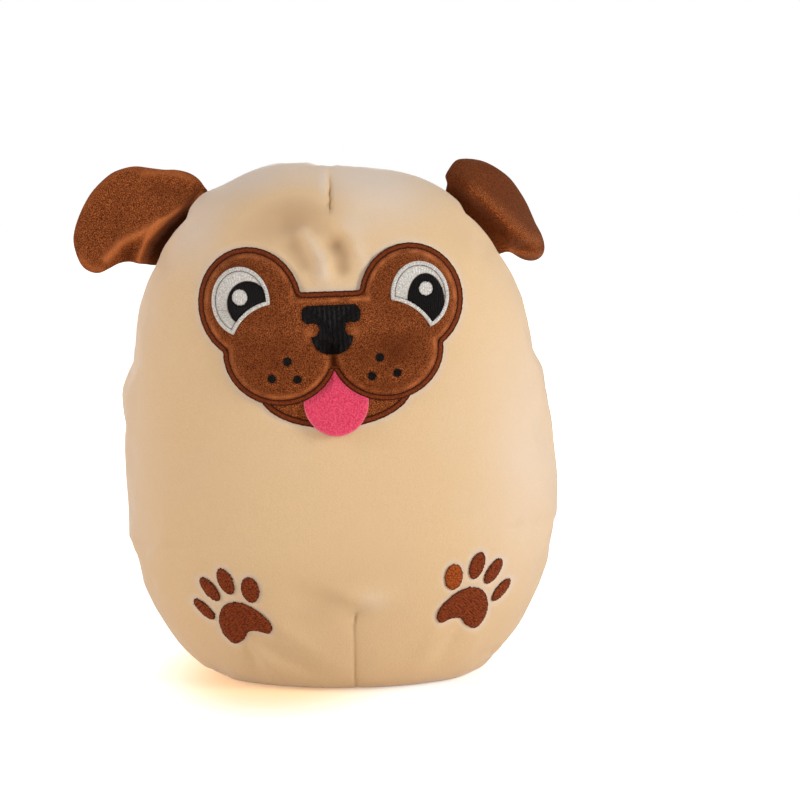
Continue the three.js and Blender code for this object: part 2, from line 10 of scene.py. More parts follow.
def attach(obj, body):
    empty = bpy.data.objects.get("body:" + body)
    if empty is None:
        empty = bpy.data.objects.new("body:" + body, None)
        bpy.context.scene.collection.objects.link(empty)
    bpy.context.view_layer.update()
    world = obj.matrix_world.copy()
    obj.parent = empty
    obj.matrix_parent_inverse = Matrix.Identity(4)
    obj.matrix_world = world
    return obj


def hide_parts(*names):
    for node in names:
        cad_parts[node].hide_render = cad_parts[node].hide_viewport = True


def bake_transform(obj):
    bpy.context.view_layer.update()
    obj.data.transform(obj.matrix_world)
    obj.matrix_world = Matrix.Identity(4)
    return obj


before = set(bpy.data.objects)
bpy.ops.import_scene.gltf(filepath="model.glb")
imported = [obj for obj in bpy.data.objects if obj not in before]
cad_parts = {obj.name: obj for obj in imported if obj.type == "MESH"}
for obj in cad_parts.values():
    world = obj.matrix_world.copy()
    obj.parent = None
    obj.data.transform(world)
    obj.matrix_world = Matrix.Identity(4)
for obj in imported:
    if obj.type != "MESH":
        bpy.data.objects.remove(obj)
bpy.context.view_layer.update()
mm = 0.001
farAway = 99.0
farInside = 9.0

cameraSettings = {
    "place": (12.841, -1089.48, 249.3),
    "target": (41.741, 15.118, 133.2),
    "lens": 100,
    "sensor": 36,
}


def makeCamera(settings):
    place, target = (Vector(settings[key]) * mm for key in ("place", "target"))
    camera = bpy.data.objects.new("camera", bpy.data.cameras.new("camera"))
    camera.data.lens = settings["lens"]
    camera.data.sensor_width = settings["sensor"]
    camera.data.sensor_fit = "HORIZONTAL"
    camera.location = place
    camera.rotation_euler = (target - place).to_track_quat("-Z", "Y").to_euler()
    bpy.context.scene.collection.objects.link(camera)
    bpy.context.scene.camera = camera


makeCamera(cameraSettings)
print("camera made")


# Shader nodes

def addNode(tree, kind, links=None, **values):
    node = tree.nodes.new(kind)
    for key, value in values.items():
        if hasattr(node, key):
            setattr(node, key, value)
    for name, value in (links or {}).items():
        socket = node.inputs[name]
        if isinstance(value, bpy.types.NodeSocket):
            tree.links.new(value, socket)
        else:
            socket.default_value = value
    return node


def newGroup(name, inputs, outputs):
    group = bpy.data.node_groups.new(name, "ShaderNodeTree")
    for label, value in inputs.items():
        kind = "NodeSocketColor" if isinstance(value, tuple) else "NodeSocketFloat"
        if label == "Vector":
            kind = "NodeSocketVector"
        socket = group.interface.new_socket(name=label, in_out="INPUT", socket_type=kind)
        if label != "Vector":
            socket.default_value = value
    for label in outputs:
        kind = "NodeSocketColor" if label == "Color" else "NodeSocketFloat"
        group.interface.new_socket(name=label, in_out="OUTPUT", socket_type=kind)
    return group, group.nodes.new("NodeGroupInput"), group.nodes.new("NodeGroupOutput")


def mathNode(tree, operation, first, second=0.0):
    return addNode(tree, "ShaderNodeMath", {0: first, 1: second}, operation=operation).outputs[0]


def ranged(tree, value, low, high, start=0.0, end=1.0, **values):
    return addNode(tree, "ShaderNodeMapRange", {0: value, 1: low, 2: high, 3: start, 4: end}, **values).outputs[0]


def mixed(tree, amount, first, second, **values):
    return addNode(tree, "ShaderNodeMix", {0: amount, 6: first, 7: second}, data_type="RGBA", **values).outputs[2]


# The four sums that the patterns are made of
def sums(tree):
    return [
        lambda first, second, kind=kind: mathNode(tree, kind, first, second)
        for kind in ("ADD", "SUBTRACT", "MULTIPLY", "MAXIMUM")
    ]


# Short pile: fine tufts lying in soft strokes, with broader patches brushed the other way
def makePileGroup():
    colors = {"Base": (1, 1, 1, 1), "Dark": (0.5, 0.5, 0.5, 1), "Light": (1, 1, 1, 1)}
    amounts = {"NapAndPaintedLight": 0.0, "Tufts": 1100.0, "Grain": 0.5, "Strokes": 0.3, "Patches": 0.3}
    group, start, end = newGroup("pile", {"Vector": 0, **colors, **amounts}, ["Color", "Height"])
    plus, less, times, most = sums(group)
    given = start.outputs
    at = given["Vector"]

    def noise(vector, scale, detail, low, high):
        made = addNode(group, "ShaderNodeTexNoise", {"Vector": vector, "Scale": scale, "Detail": detail})
        return ranged(group, made.outputs[0], low, high)

    def clamped(value):
        return mathNode(group, "MINIMUM", most(value, 0.0), 1.0)

    lying = addNode(group, "ShaderNodeMapping", {"Vector": at, "Scale": (1.0, 1.0, 0.35)}).outputs[0]
    tufts = noise(at, given["Tufts"], 2.0, 0.36, 0.64)
    strokes = noise(lying, 520.0, 2.0, 0.3, 0.7)
    patches = noise(at, 34.0, 3.0, 0.42, 0.72)
    # Nap mixes towards Light where positive and towards Dark where negative: it carries the painted highlights and
    # painted shade laid on the pieces, as well as the pale pressed pile beside the embroidery and the felt's pale cut
    # edge
    pale = clamped(plus(given["NapAndPaintedLight"], times(patches, given["Patches"])))
    deep = clamped(times(given["NapAndPaintedLight"], -1.0))
    tips = times(tufts, times(given["Grain"], times(less(1.0, deep), 0.7)))
    lifted = mixed(group, most(pale, tips), given["Base"], given["Light"])
    grain = times(less(1.0, tufts), given["Grain"])
    shade = times(less(1.0, strokes), given["Strokes"])
    darkness = most(deep, times(most(grain, shade), less(1.0, times(pale, 0.6))))
    group.links.new(mixed(group, darkness, lifted, given["Dark"]), end.inputs["Color"])
    group.links.new(plus(times(tufts, 0.6), times(strokes, 0.4)), end.inputs["Height"])
    return group


# Satin stitch: threads side by side, from the piece's own UV map in millimetres, darker at the edge of the fill
def makeStitchGroup():
    colors = {"Base": (1, 1, 1, 1), "Dark": (0.5, 0.5, 0.5, 1)}
    amounts = {"Edge": farInside, "Pitch": 0.5, "Slant": 0.3, "Depth": 0.5, "Grain": 0.3, "Rim": 0.6}
    group, start, end = newGroup("stitch", {"Vector": 0, **colors, **amounts}, ["Color", "Height"])
    plus, less, times, most = sums(group)
    given = start.outputs
    along, across = addNode(group, "ShaderNodeSeparateXYZ", {0: given["Vector"]}).outputs[:2]
    fray = addNode(group, "ShaderNodeTexNoise", {"Vector": given["Vector"], "Scale": 1.1, "Detail": 3.0}).outputs[0]
    wandering = plus(plus(along, times(across, given["Slant"])), times(fray, 1.1))
    turns = times(mathNode(group, "DIVIDE", wandering, given["Pitch"]), 2 * math.pi)
    wave = plus(times(mathNode(group, "SINE", turns), 0.5), 0.5)
    speckle = ranged(group, fray, 0.38, 0.62)
    lows = times(less(1.0, wave), given["Depth"])
    specks = times(less(1.0, speckle), given["Grain"])
    rim = times(ranged(group, given["Edge"], 0.0, 0.9, 1.0, 0.0), given["Rim"])
    darkness = most(rim, most(lows, specks))
    group.links.new(mixed(group, darkness, given["Base"], given["Dark"]), end.inputs["Color"])
    group.links.new(plus(wave, times(speckle, 0.5)), end.inputs["Height"])
    return group


pileGroup = makePileGroup()
stitchGroup = makeStitchGroup()


def linear(*rgb):
    return tuple(c / 255 / 12.92 if c <= 10 else ((c / 255 + 0.055) / 1.055) ** 2.4 for c in rgb) + (1.0,)


def makeMaterial(
    name, group, values, bump, roughness=0.75, sheen=0.0, sheenTint=(1.0, 1.0, 1.0), sheenRoughness=0.3, specular=0.1,
):
    material = bpy.data.materials.new(name)
    material.use_nodes = True
    tree = material.node_tree
    shader = tree.nodes["Principled BSDF"].inputs
    place, layer, socket = ("UV", "edge", "Edge") if group == stitchGroup else ("Object", "nap_and_painted_light", "NapAndPaintedLight")
    pattern = addNode(tree, "ShaderNodeGroup", node_tree=group)
    tree.links.new(addNode(tree, "ShaderNodeTexCoord").outputs[place], pattern.inputs["Vector"])
    kept = addNode(tree, "ShaderNodeAttribute", attribute_name=layer)
    tree.links.new(kept.outputs["Fac"], pattern.inputs[socket])
    for key, value in values.items():
        pattern.inputs[key].default_value = value
    strength, distance = bump
    height = {"Height": pattern.outputs["Height"], "Strength": strength, "Distance": distance * mm}
    tree.links.new(pattern.outputs["Color"], shader["Base Color"])
    tree.links.new(addNode(tree, "ShaderNodeBump", height).outputs[0], shader["Normal"])
    shader["Roughness"].default_value = roughness
    shader["Specular IOR Level"].default_value = specular
    shader["Sheen Weight"].default_value = sheen
    shader["Sheen Tint"].default_value = (*sheenTint, 1.0)
    shader["Sheen Roughness"].default_value = sheenRoughness
    return material


# The cloths' Light and Dark colours are also those of the painted light: the grey-pink Light on the cream is a painted
# sheen, the orange Light on the brown a painted highlight, and both Darks are painted shade
creamCloth = makeMaterial(
    "cream_pile_cloth", pileGroup,
    {"Base": linear(226, 194, 152), "Dark": linear(187, 153, 118), "Light": linear(226, 207, 189),
     "Tufts": 1500.0, "Grain": 0.16, "Strokes": 0.08, "Patches": 0.12},
    bump=(0.3, 0.4), roughness=0.95, sheen=0.5, sheenTint=(1.0, 0.94, 0.94), sheenRoughness=0.4,
)
brownCloth = makeMaterial(
    "brown_pile_cloth", pileGroup,
    {"Base": linear(117, 53, 20), "Dark": linear(50, 20, 7), "Light": linear(216, 126, 72),
     "Tufts": 2200.0, "Grain": 0.84, "Strokes": 0.25, "Patches": 0.16},
    bump=(0.6, 0.5), roughness=0.9, sheen=0.25, sheenTint=(1.0, 0.52, 0.32), specular=0.05,
)
borderThread = makeMaterial(
    "brown_satin_stitch", stitchGroup,
    {"Base": linear(138, 64, 26), "Dark": linear(70, 26, 10),
     "Pitch": 0.9, "Slant": 0.35, "Depth": 0.55, "Grain": 0.8, "Rim": 0.0},
    bump=(0.5, 0.3),
)
outlineThread = makeMaterial(
    "dark_brown_thread", stitchGroup,
    {"Base": linear(82, 30, 11), "Dark": linear(30, 9, 3),
     "Pitch": 1.5, "Slant": 0.5, "Depth": 0.75, "Grain": 0.5, "Rim": 0.0},
    bump=(0.6, 0.3),
)
pawValues = {
    "Base": linear(158, 72, 34), "Dark": linear(56, 19, 8),
    "Pitch": 1.1, "Slant": 0.0, "Depth": 0.45, "Grain": 0.85, "Rim": 0.95,
}
warmValues = {**pawValues, "Base": linear(196, 96, 36), "Dark": linear(92, 34, 14)}
pawThread = makeMaterial("paw_embroidery", stitchGroup, pawValues, bump=(0.8, 0.35))
pawThreadWarm = makeMaterial("warm_paw_embroidery", stitchGroup, warmValues, bump=(0.8, 0.35))
whiteThread = makeMaterial(
    "white_embroidery", stitchGroup,
    {"Base": linear(250, 248, 244), "Dark": linear(138, 129, 122),
     "Pitch": 1.0, "Slant": 0.0, "Depth": 0.5, "Grain": 0.6, "Rim": 0.75},
    bump=(0.9, 0.35), roughness=0.5, sheen=0.1, specular=0.3,
)
blackThread = makeMaterial(
    "black_embroidery", stitchGroup,
    {"Base": linear(22, 16, 15), "Dark": linear(3, 2, 3),
     "Pitch": 1.0, "Slant": 0.0, "Depth": 0.95, "Grain": 1.0, "Rim": 0.3},
    bump=(1.0, 0.5), roughness=0.42, specular=0.07,
)
pinkFelt = makeMaterial(
    "pink_felt", pileGroup,
    {"Base": linear(230, 62, 98), "Dark": linear(190, 40, 74), "Light": linear(250, 116, 146),
     "Tufts": 1400.0, "Grain": 0.6, "Strokes": 0.25, "Patches": 0.4},
    bump=(0.6, 0.4), roughness=0.95, sheen=0.3, sheenTint=(1.0, 0.75, 0.82), sheenRoughness=0.5,
)
print("materials made")


# The toy's own frame: upright, slumped a little at the crown, leaning, with a settled foot

toyFrame = {
    "lean": math.radians(3.15),
    "slump": 0.044,
    "offset": (17.341, 1.718),
    "floor": -0.5,
    "settle": 5.5,
}

bodyShape = {
    "halfWidth": 105.0,
    "halfDepth": 80.0,
    "waist": 76.0,
    "rise": 175.4,
    "drop": 113.4,
    "section": 2.15,
    "crown": 2.63,
    "foot": 1.68,
    "cuts": 39,
    # beside the embroidery: how pale, how wide, how deep, and how near the mesh gets finer
    "halo": 0.75,
    "haloWidth": 2.2,
    "haloDepth": 0.35,
    "fineReaches": (5.0, 3.2),
    # the gathered brow, where the mesh is finer too: half width, height and half height
    "browArea": (24, 213, 14),
    # patches of painted light and shade: pale sheen on the crown and sides, highlights on the right side and beside
    # the darts, shade by the brow and low on the front; place, reach and how pale they look
    "nap_and_painted_light": [
        ((-34, -30, 247), (36, 60, 14), 1.0),
        ((24, -30, 241), (29, 60, 20), 1.0),
        ((-12, -60, 230), (23, 50, 15), -1.0),
        ((-42, -50, 214), (14, 50, 16), -0.3),
        ((-63, -40, 224), (19, 50, 20), 0.85),
        ((66, -50, 216), (16, 50, 14), -0.25),
        ((84, -40, 100), (26, 60, 66), 0.4),
        ((-97, -10, 190), (16, 60, 60), 0.5),
        ((-100, -10, 90), (16, 60, 50), 0.5),
        ((95, -20, 120), (26, 60, 70), 0.35),
        ((0, -80, 60), (60, 60, 34), -0.12),
        ((0.2, -60, 243), (1.5, 40, 7), 0.5),
        ((12, -60, 222), (9, 40, 6), 0.45),
        ((15, -60, 210), (4, 40, 7), 0.4),
        ((12, -60, 47), (9, 40, 7), 0.5),
        ((-10, -60, 46), (10, 40, 7), -0.35),
    ],
    # broad swells: place, reach and how far the cloth stands out there
    "swells": [
        ((64, 0, 238), (20, 26, 16), 1.5),
        ((20, 0, 250), (20, 40, 12), -1.4),
        ((-17, 0, 251), (16, 40, 12), 1.4),
        ((-46, 0, 240), (14, 50, 14), -0.9),
        ((-59, 0, 236), (9, 40, 10), 1.9),
        ((104, 0, 133), (30, 40, 14), 2.4),
        ((106, 0, 88), (30, 40, 24), 2.6),
        ((-103, 0, 143), (30, 40, 17), 2.3),
        ((-104, 0, 78), (30, 40, 8), 2.0),
    ],
    # dents and folds of the front: across, up, half length, half width, turn and depth
    "folds": [
        (8, 222, 8, 4.5, -40, 1.0),
        (14.5, 211, 9, 3.4, -66, 1.7),
        (20, 206.5, 6, 2.5, -50, -0.8),
        (1.5, 204.5, 6, 3.5, 0, 1.2),
        (-25, 224, 14, 6, -10, -1.2),
        (0.2, 243, 8, 1.5, 88, 0.7),
        (24, 228, 12, 6, 0, -0.6),
        (-33, 22, 16, 3.2, -38, -1.6),
        (-46, 19, 10, 3, -75, -1.3),
        (-40, 20, 12, 3, -55, 0.9),
        (-24, 30, 18, 5, -40, 1.0),
        (9, 48, 12, 5, 8, 2.2),
        (-1, 46, 8, 4, -8, -1.4),
        (-14, 50, 14, 6, -20, -1.2),
        (48, 22, 14, 3.5, 55, -1.4),
        (38, 24, 14, 4, 60, 0.9),
        (58, 20, 12, 4, 50, 0.7),
    ],
}

# The gathers of the brow: the line each follows, its width, how far it stands out, and its painted light: a painted
# highlight where positive, painted shade where negative
brow = [
    ([(-9.6, 219), (-5.5, 212.5), (-2.2, 205.5), (-1.6, 199.5)], 4.2, 2.6, 0.65),
    ([(-19, 224.5), (-10, 223.5), (-1.5, 221), (3.6, 215.6)], 4.2, -1.4, -0.1),
    ([(4.5, 214), (6.8, 208.5), (6.4, 204)], 4.4, -2.2, -0.85),
    ([(-15.5, 213), (-13, 208.3), (-11, 205.5)], 4.4, -1.3, -0.5),
]

dart = {
    "crownEnd": 226.0,
    "footEnd": 44.0,
    "run": 7.0,
    "crack": 1.5,
    "crackWidth": 0.8,
    "valley": 1.0,
    "valleyWidth": 5.0,
    "crownTop": 240.0,
    # how much shade is painted along each dart's crack
    "line": 1.2,
    "crownLine": [(226, 2.4), (245, 3.3), (252, 3.6)],
    "footLine": [(7, 1.6), (23.5, 2.5), (36, 2.8), (43, 4.8)],
}

sideSeam = {"crack": 1.6, "crackWidth": 0.9, "valley": 1.2, "valleyWidth": 5.0, "pucker": 0.35, "puckerLength": 11.0}


def smooth(t):
    t = np.clip(t, 0, 1)
    return t * t * (3 - 2 * t)


def hump(away, width):
    return np.exp(-((away / width) ** 2))


# A long hump at a place on the front, turned by some degrees
def foldHump(x, z, across, up, halfLength, halfWidth, degrees):
    c, s = math.cos(math.radians(degrees)), math.sin(math.radians(degrees))
    x, z = x - across, z - up
    return hump(x * c + z * s, halfLength) * hump(z * c - x * s, halfWidth)


# Round humps at places in space, each with its reach and amount
def spaceHumps(p, rows):
    return sum(amount * np.exp(-(((p - centre) / reach) ** 2).sum(1)) for centre, reach, amount in rows)


def girthShare(z):
    shape = bodyShape
    above = z > shape["waist"]
    reach = np.where(above, shape["rise"], shape["drop"])
    power = np.where(above, shape["crown"], shape["foot"])
    t = np.clip(np.abs(z - shape["waist"]) / reach, 0, 1)
    return (1 - t**power) ** (1 / power)


def tilted(p):
    c, s = math.cos(toyFrame["lean"]), math.sin(toyFrame["lean"])
    x, y, z = p.T
    return np.stack([x * c - z * s, y, x * s + z * c], 1)


def leaned(p):
    x, y, z = p.T
    rise = np.clip((z - bodyShape["waist"]) / bodyShape["rise"], 0, 1)
    return tilted(np.stack([x, y, z - toyFrame["slump"] * x * rise**2], 1))


def placed(p):
    return (p + np.array([*toyFrame["offset"], 0])) * mm


# Points of a ball moved onto the stuffed body, in the upright frame
def bodyBase(ball):
    shape = bodyShape
    x, y, z = ball.T
    level = np.sqrt(np.clip(1 - z * z, 1e-9, 1))
    power = np.where(z > 0, shape["crown"], shape["foot"])
    reach = np.where(z > 0, shape["rise"], shape["drop"])
    girth = level ** (2 / power)
    across, deep = x / level, y / level
    bend = 2 / shape["section"]
    return np.stack([
        shape["halfWidth"] * girth * np.sign(across) * np.abs(across) ** bend,
        shape["halfDepth"] * girth * np.sign(deep) * np.abs(deep) ** bend,
        shape["waist"] + reach * np.sign(z) * np.abs(z) ** (2 / power),
    ], 1)


def bodyNormal(p):
    shape = bodyShape

    def level(q):
        g = np.maximum(girthShare(q[:, 2]), 0.02)
        n = shape["section"]
        across, deep = np.abs(q[:, 0] / (shape["halfWidth"] * g)), np.abs(q[:, 1] / (shape["halfDepth"] * g))
        return (across**n + deep**n) ** (1 / n) * g - g

    slope = np.stack([level(p + d) - level(p - d) for d in np.eye(3) * 0.5], 1)
    tip = np.abs(p[:, 2] - shape["waist"]) / np.where(p[:, 2] > shape["waist"], shape["rise"], shape["drop"])
    flat = tip > 0.985
    slope[flat] = np.stack([p[flat, 0] * 1e-4, p[flat, 1] * 1e-4, np.sign(p[flat, 2] - shape["waist"])], 1)
    return slope / np.linalg.norm(slope, axis=1)[:, None]


# The distance from each point to a line through the given points
def lineAway(x, y, line):
    away = np.full(np.shape(x), farAway)
    for (x0, y0), (x1, y1) in zip(line, line[1:]):
        dx, dy = x1 - x0, y1 - y0
        t = np.clip(((x - x0) * dx + (y - y0) * dy) / (dx * dx + dy * dy), 0, 1)
        away = np.minimum(away, np.hypot(x - x0 - t * dx, y - y0 - t * dy))
    return away


def creaseDepth(away, settings, share):
    crack = settings["crack"] * np.exp(-np.abs(away) / settings["crackWidth"])
    valley = settings["valley"] * hump(away, settings["valleyWidth"])
    return share * (crack + valley)


# The darts at the crown and the foot: the distance across to each line of stitches, and how deep it is there
def dartLines(p):
    x, y, z = p.T
    crown = smooth((z - dart["crownEnd"]) / dart["run"]) * (1 - 0.97 * smooth((z - dart["crownTop"]) / 9))
    foot = smooth((dart["footEnd"] - z) / 4) * (0.45 + 0.35 * smooth((z - 30) / 9))
    for line, share in ((dart["crownLine"], crown), (dart["footLine"], foot)):
        heights, middles = zip(*line)
        yield x - np.interp(z, heights, middles) - 0.25 * np.sin(1.1 * z) * hump(z - 235, 9), share


# How far the cloth stands out from the plain stuffed form
def standOut(p):
    x, y, z = p.T
    out = spaceHumps(p, bodyShape["swells"])
    front = smooth(-y / 12)
    for *place, amount in bodyShape["folds"]:
        out += front * amount * foldHump(x, z, *place)
    for line, width, amount, _ in brow:
        out += front * amount * hump(lineAway(x, z, line), width)
    for away, share in dartLines(p):
        out -= creaseDepth(away, dart, share)
    ripple = np.cos(2 * math.pi * z / sideSeam["puckerLength"] + 1.7 * np.sin(z / 23) + np.sign(x))
    out -= creaseDepth(y, sideSeam, 1.0)
    return out + sideSeam["pucker"] * ripple * hump(y, 9) * (1 - hump(y, 1.5))


def settled(p):
    floor, soft = toyFrame["floor"], toyFrame["settle"]
    p = p.copy()
    p[:, 2] = floor + soft * np.log1p(np.exp(np.clip((p[:, 2] - floor) / soft, -60, 60)))
    p[:, 2] = np.maximum(p[:, 2], 0)
    return p


def coordinates(bm):
    return np.array([v.co for v in bm.verts])


def moveVerts(bm, places):
    for vert, place in zip(bm.verts, places):
        vert.co = place


def setLayer(bm, name, values):
    layer = bm.verts.layers.float.new(name)
    for vert, value in zip(bm.verts, values):
        vert[layer] = value


# Outward normals, for a sheet too, which faces the front
def turnOutward(bm, sheet=False):
    bmesh.ops.recalc_face_normals(bm, faces=bm.faces[:])
    if sheet and sum(f.normal.y for f in bm.faces) > 0:
        bmesh.ops.reverse_faces(bm, faces=bm.faces[:])


def newPiece(name, bm, material, body=None, replaces=(), slot=None):
    mesh = bpy.data.meshes.new(name)
    bm.to_mesh(mesh)
    bm.free()
    mesh.materials.append(material)
    for polygon in mesh.polygons:
        polygon.use_smooth = True
    piece = bpy.data.objects.new(name, mesh)
    bpy.context.scene.collection.objects.link(piece)
    if body:
        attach(piece, body)
    if replaces:
        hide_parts(*replaces)
    return piece


def ballMesh(cuts):
    bm = bmesh.new()
    bmesh.ops.create_cube(bm, size=2)
    bmesh.ops.subdivide_edges(bm, edges=bm.edges[:], cuts=cuts, use_grid_fill=True)
    places = np.tan(coordinates(bm) * math.pi / 4)
    moveVerts(bm, places / np.linalg.norm(places, axis=1)[:, None])
    return bm


def cutPlanes(bm, point, normal, offsets, test=None):
    for offset in offsets:
        faces = [f for f in bm.faces if test is None or test(f.calc_center_median())]
        parts = [*faces, *(e for f in faces for e in f.edges), *(v for f in faces for v in f.verts)]
        geometry = list(dict.fromkeys(parts))
        bmesh.ops.bisect_plane(
            bm, geom=geometry, dist=1e-4, plane_co=Vector(point) + Vector(normal) * offset, plane_no=Vector(normal),
        )


def evened(bm, values, rounds):
    bm.verts.index_update()
    pairs = np.array([[v.index for v in e.verts] for e in bm.edges])
    count = np.bincount(pairs.ravel(), minlength=len(values))[:, None]
    for _ in range(rounds):
        total = np.zeros_like(values)
        np.add.at(total, pairs[:, 0], values[pairs[:, 1]])
        np.add.at(total, pairs[:, 1], values[pairs[:, 0]])
        values = 0.5 * values + 0.5 * total / count
    return values


# Stuffs a closed mesh of cloth: pressure swells it while its seams draw in, and no point goes past the cap.
# Only the puckers are kept: the broad swelling is taken off again
def stuffed(bm, seam, settings):
    start = coordinates(bm)
    mesh = bpy.data.meshes.new("trial")
    bm.to_mesh(mesh)
    trial = bpy.data.objects.new("trial", mesh)
    bpy.context.scene.collection.objects.link(trial)
    normals = np.array([v.normal for v in mesh.vertices])
    begin = start - normals * settings["smaller"]
    for vert, place in zip(mesh.vertices, begin * mm):
        vert.co = place
    group = trial.vertex_groups.new(name="seam")
    for i, weight in enumerate(seam):
        if weight > 0.01:
            group.add([i], float(weight), "REPLACE")
    cloth = trial.modifiers.new("cloth", "CLOTH").settings
    cloth.quality = settings["quality"]
    cloth.mass = settings["mass"]
    cloth.tension_stiffness = cloth.compression_stiffness = settings["stiffness"]
    cloth.bending_stiffness = settings["bending"]
    cloth.use_pressure = True
    cloth.uniform_pressure_force = settings["pressure"]
    cloth.effector_weights.gravity = 0
    cloth.vertex_group_shrink = "seam"
    cloth.shrink_max = settings["shrink"]
    trial.modifiers["cloth"].point_cache.frame_end = settings["frames"]
    for number in range(1, settings["frames"] + 1):
        bpy.context.scene.frame_set(number)
    seen = trial.evaluated_get(bpy.context.evaluated_depsgraph_get()).to_mesh()
    moved = np.array([v.co for v in seen.vertices]) / mm - start
    bpy.context.scene.frame_set(1)
    bpy.data.objects.remove(trial)
    length = np.linalg.norm(moved, axis=1)[:, None]
    print("stuffing moved the cloth", round(float(length.mean()), 2), "mm on average")
    moved = moved - evened(bm, moved, settings["broad"])
    length = np.maximum(np.linalg.norm(moved, axis=1)[:, None], 1e-6)
    return moved * np.tanh(length / settings["cap"]) * settings["cap"] / length


# Fields are positive inside an outline, in millimetres to its edge
def ovalField(x, z, across, up, halfWidth, halfHeight, turn=0.0):
    c, s = math.cos(turn), math.sin(turn)
    u = ((x - across) * c + (z - up) * s) / halfWidth
    v = ((z - up) * c - (x - across) * s) / halfHeight
    size = np.maximum(np.hypot(u, v), 1e-3)
    slope = np.hypot(u / halfWidth, v / halfHeight) / size
    return np.minimum((1 - size) / np.maximum(slope, 1e-6), min(halfWidth, halfHeight))


def boxField(x, z, x0, x1, z0, z1):
    return np.minimum(np.minimum(x - x0, x1 - x), np.minimum(z - z0, z1 - z))


# The box that is so far from a place to each side, and up and down
def boxRound(x, z, halfWidth, halfHeight):
    return x - halfWidth, x + halfWidth, z - halfHeight, z + halfHeight


def joined(a, b, blend):
    t = np.clip(0.5 + 0.5 * (a - b) / blend, 0, 1)
    return b * (1 - t) + a * t + blend * t * (1 - t)


def ragged(field, amount=0.14):
    def rough(x, z):
        wave = np.sin(4.1 * x + 1.9 * z) + np.sin(2.3 * x - 4.7 * z + 1.1) + np.sin(6.3 * x + 5.2 * z + 2.3)
        return field(x, z) + amount * wave / 1.7
    return rough


def fieldSlope(field, x, z, step=0.05):
    return np.stack([field(x + step, z) - field(x - step, z), field(x, z + step) - field(x, z - step)], 1) / (2 * step)


def toEdge(field, flat, rounds=4):
    for _ in range(rounds):
        value = field(flat[:, 0], flat[:, 1])
        slope = fieldSlope(field, flat[:, 0], flat[:, 1])
        flat = flat - slope * (value / np.maximum((slope**2).sum(1), 0.05))[:, None]
    return flat


muzzle = {
    "shift": 0.6,
    "height": 165.2,
    "lobe": (37.5, 187.8, 24.0, 25.4),
    "cheek": (24.6, 165.2, 26.1, 23.4),
    "bridge": (25.5, 165.2, 192.3),
    "jaw": (147.5, 35.0, 17.0),
    "border": 2.5,
    "lobePuff": 3.4,
    "cheekPuff": 6.0,
    "cloth": 1.3,
    "step": 1.0,
    # patches of painted highlight and shade: across, up, how wide, how high and how pale
    "nap_and_painted_light": [
        (-10.5, 174, 3, 3.5, 0.75), (10.5, 174, 3, 3.5, 0.75), (-17, 182, 4, 8, 0.3), (17, 182, 4, 8, 0.3),
        (-30, 176, 16, 3, 0.25), (30, 176, 16, 3, 0.25), (-22, 146, 16, 4, 0.25), (24, 146, 14, 4, -0.2),
        (-48, 206, 8, 5, -0.25), (46, 204, 9, 5, 0.2), (-25, 161, 12, 7, -0.15), (25, 163, 12, 7, -0.25),
        (0, 161, 2.2, 5, -0.6), (32, 170, 12, 9, -0.16), (-24, 174, 8, 6, -0.12),
    ],
}
muzzleBox = (-64, 66, 138, 216)
whiskers = {"radius": 1.9, "dots": [(17.0, 153.7), (21.1, 162.1), (28.7, 154.5)]}
bothSides = ((-1, "left"), (1, "right"))


# The muzzle's four round forms: which kind, then across, up, half width and half height
def muzzleRounds():
    for sign in (-1, 1):
        for key in ("lobe", "cheek"):
            spread, *rest = muzzle[key]
            yield key, (sign * spread, *rest)


def muzzleField(x, z):
    x = x - muzzle["shift"]
    field = None
    for _, place in muzzleRounds():
        part = ovalField(x, z, *place)
        field = part if field is None else joined(field, part, 0.8)
    half, low, high = muzzle["bridge"]
    return joined(field, boxField(x, z, -half, half, low, high), 1.0)


def jawField(x, z):
    height, halfWidth, halfHeight = muzzle["jaw"]
    return np.minimum(ovalField(x - muzzle["shift"], z, 0, height, halfWidth, halfHeight), 152 - z)


def inset(field, amount):
    return lambda x, z: field(x, z) - amount


def muzzlePuff(x, z):
    x = x - muzzle["shift"]
    puff = np.zeros_like(x)
    for key, (across, up, halfWidth, halfHeight) in muzzleRounds():
        dome = np.maximum(1 - ((x - across) / halfWidth) ** 2 - ((z - up) / halfHeight) ** 2, 0)
        puff = np.maximum(puff, muzzle[key + "Puff"] * dome**0.75)
    return puff


def whiskerDistances(x, z):
    for sign, _ in bothSides:
        for spread, height in whiskers["dots"]:
            yield np.hypot(x - muzzle["shift"] - sign * spread, z - height)


def muzzleLift(x, z, inside):
    past = inside - muzzle["border"]
    puffed = muzzle["cloth"] * rounded(past + 0.2, 2.2)
    puffed = puffed + muzzlePuff(x, z) * smooth(past / 5.5 + 0.15) * smooth(past / 1.2)
    for away in whiskerDistances(x, z):
        puffed = puffed - 0.7 * hump(away, 2.6)
    crease = 1.6 * hump(x - muzzle["shift"], 1.4) * smooth((167 - z) / 5)
    return 1.0 + 0.5 * rounded(inside, 1.0) + np.maximum(puffed - crease, 0)


def onMuzzle(x, z):
    return muzzleLift(x, z, muzzleField(x, z))


def flatUv(x, z):
    return np.stack([x, z], 1)


paw = {
    "middle": 3.0, "spread": 51.2, "height": 38.7, "halfWidth": 12.5,
    "outline": [(-1, -0.14), (-0.8, 0.28), (-0.24, 0.72), (0.3, 0.88), (0.78, 0.7), (1, 0.14),
                (0.88, -0.46), (0.5, -0.86), (0.12, -0.68), (-0.1, -0.34), (-0.46, -0.3), (-0.86, -0.4)],
    "toes": [(-0.29, 1.38, 0.51, 0.34, 6.7), (0.62, 1.7, 0.54, 0.28, 20.7),
             (1.25, 1.37, 0.55, 0.25, 35.5), (1.54, 0.53, 0.53, 0.22, 43.0)],
}


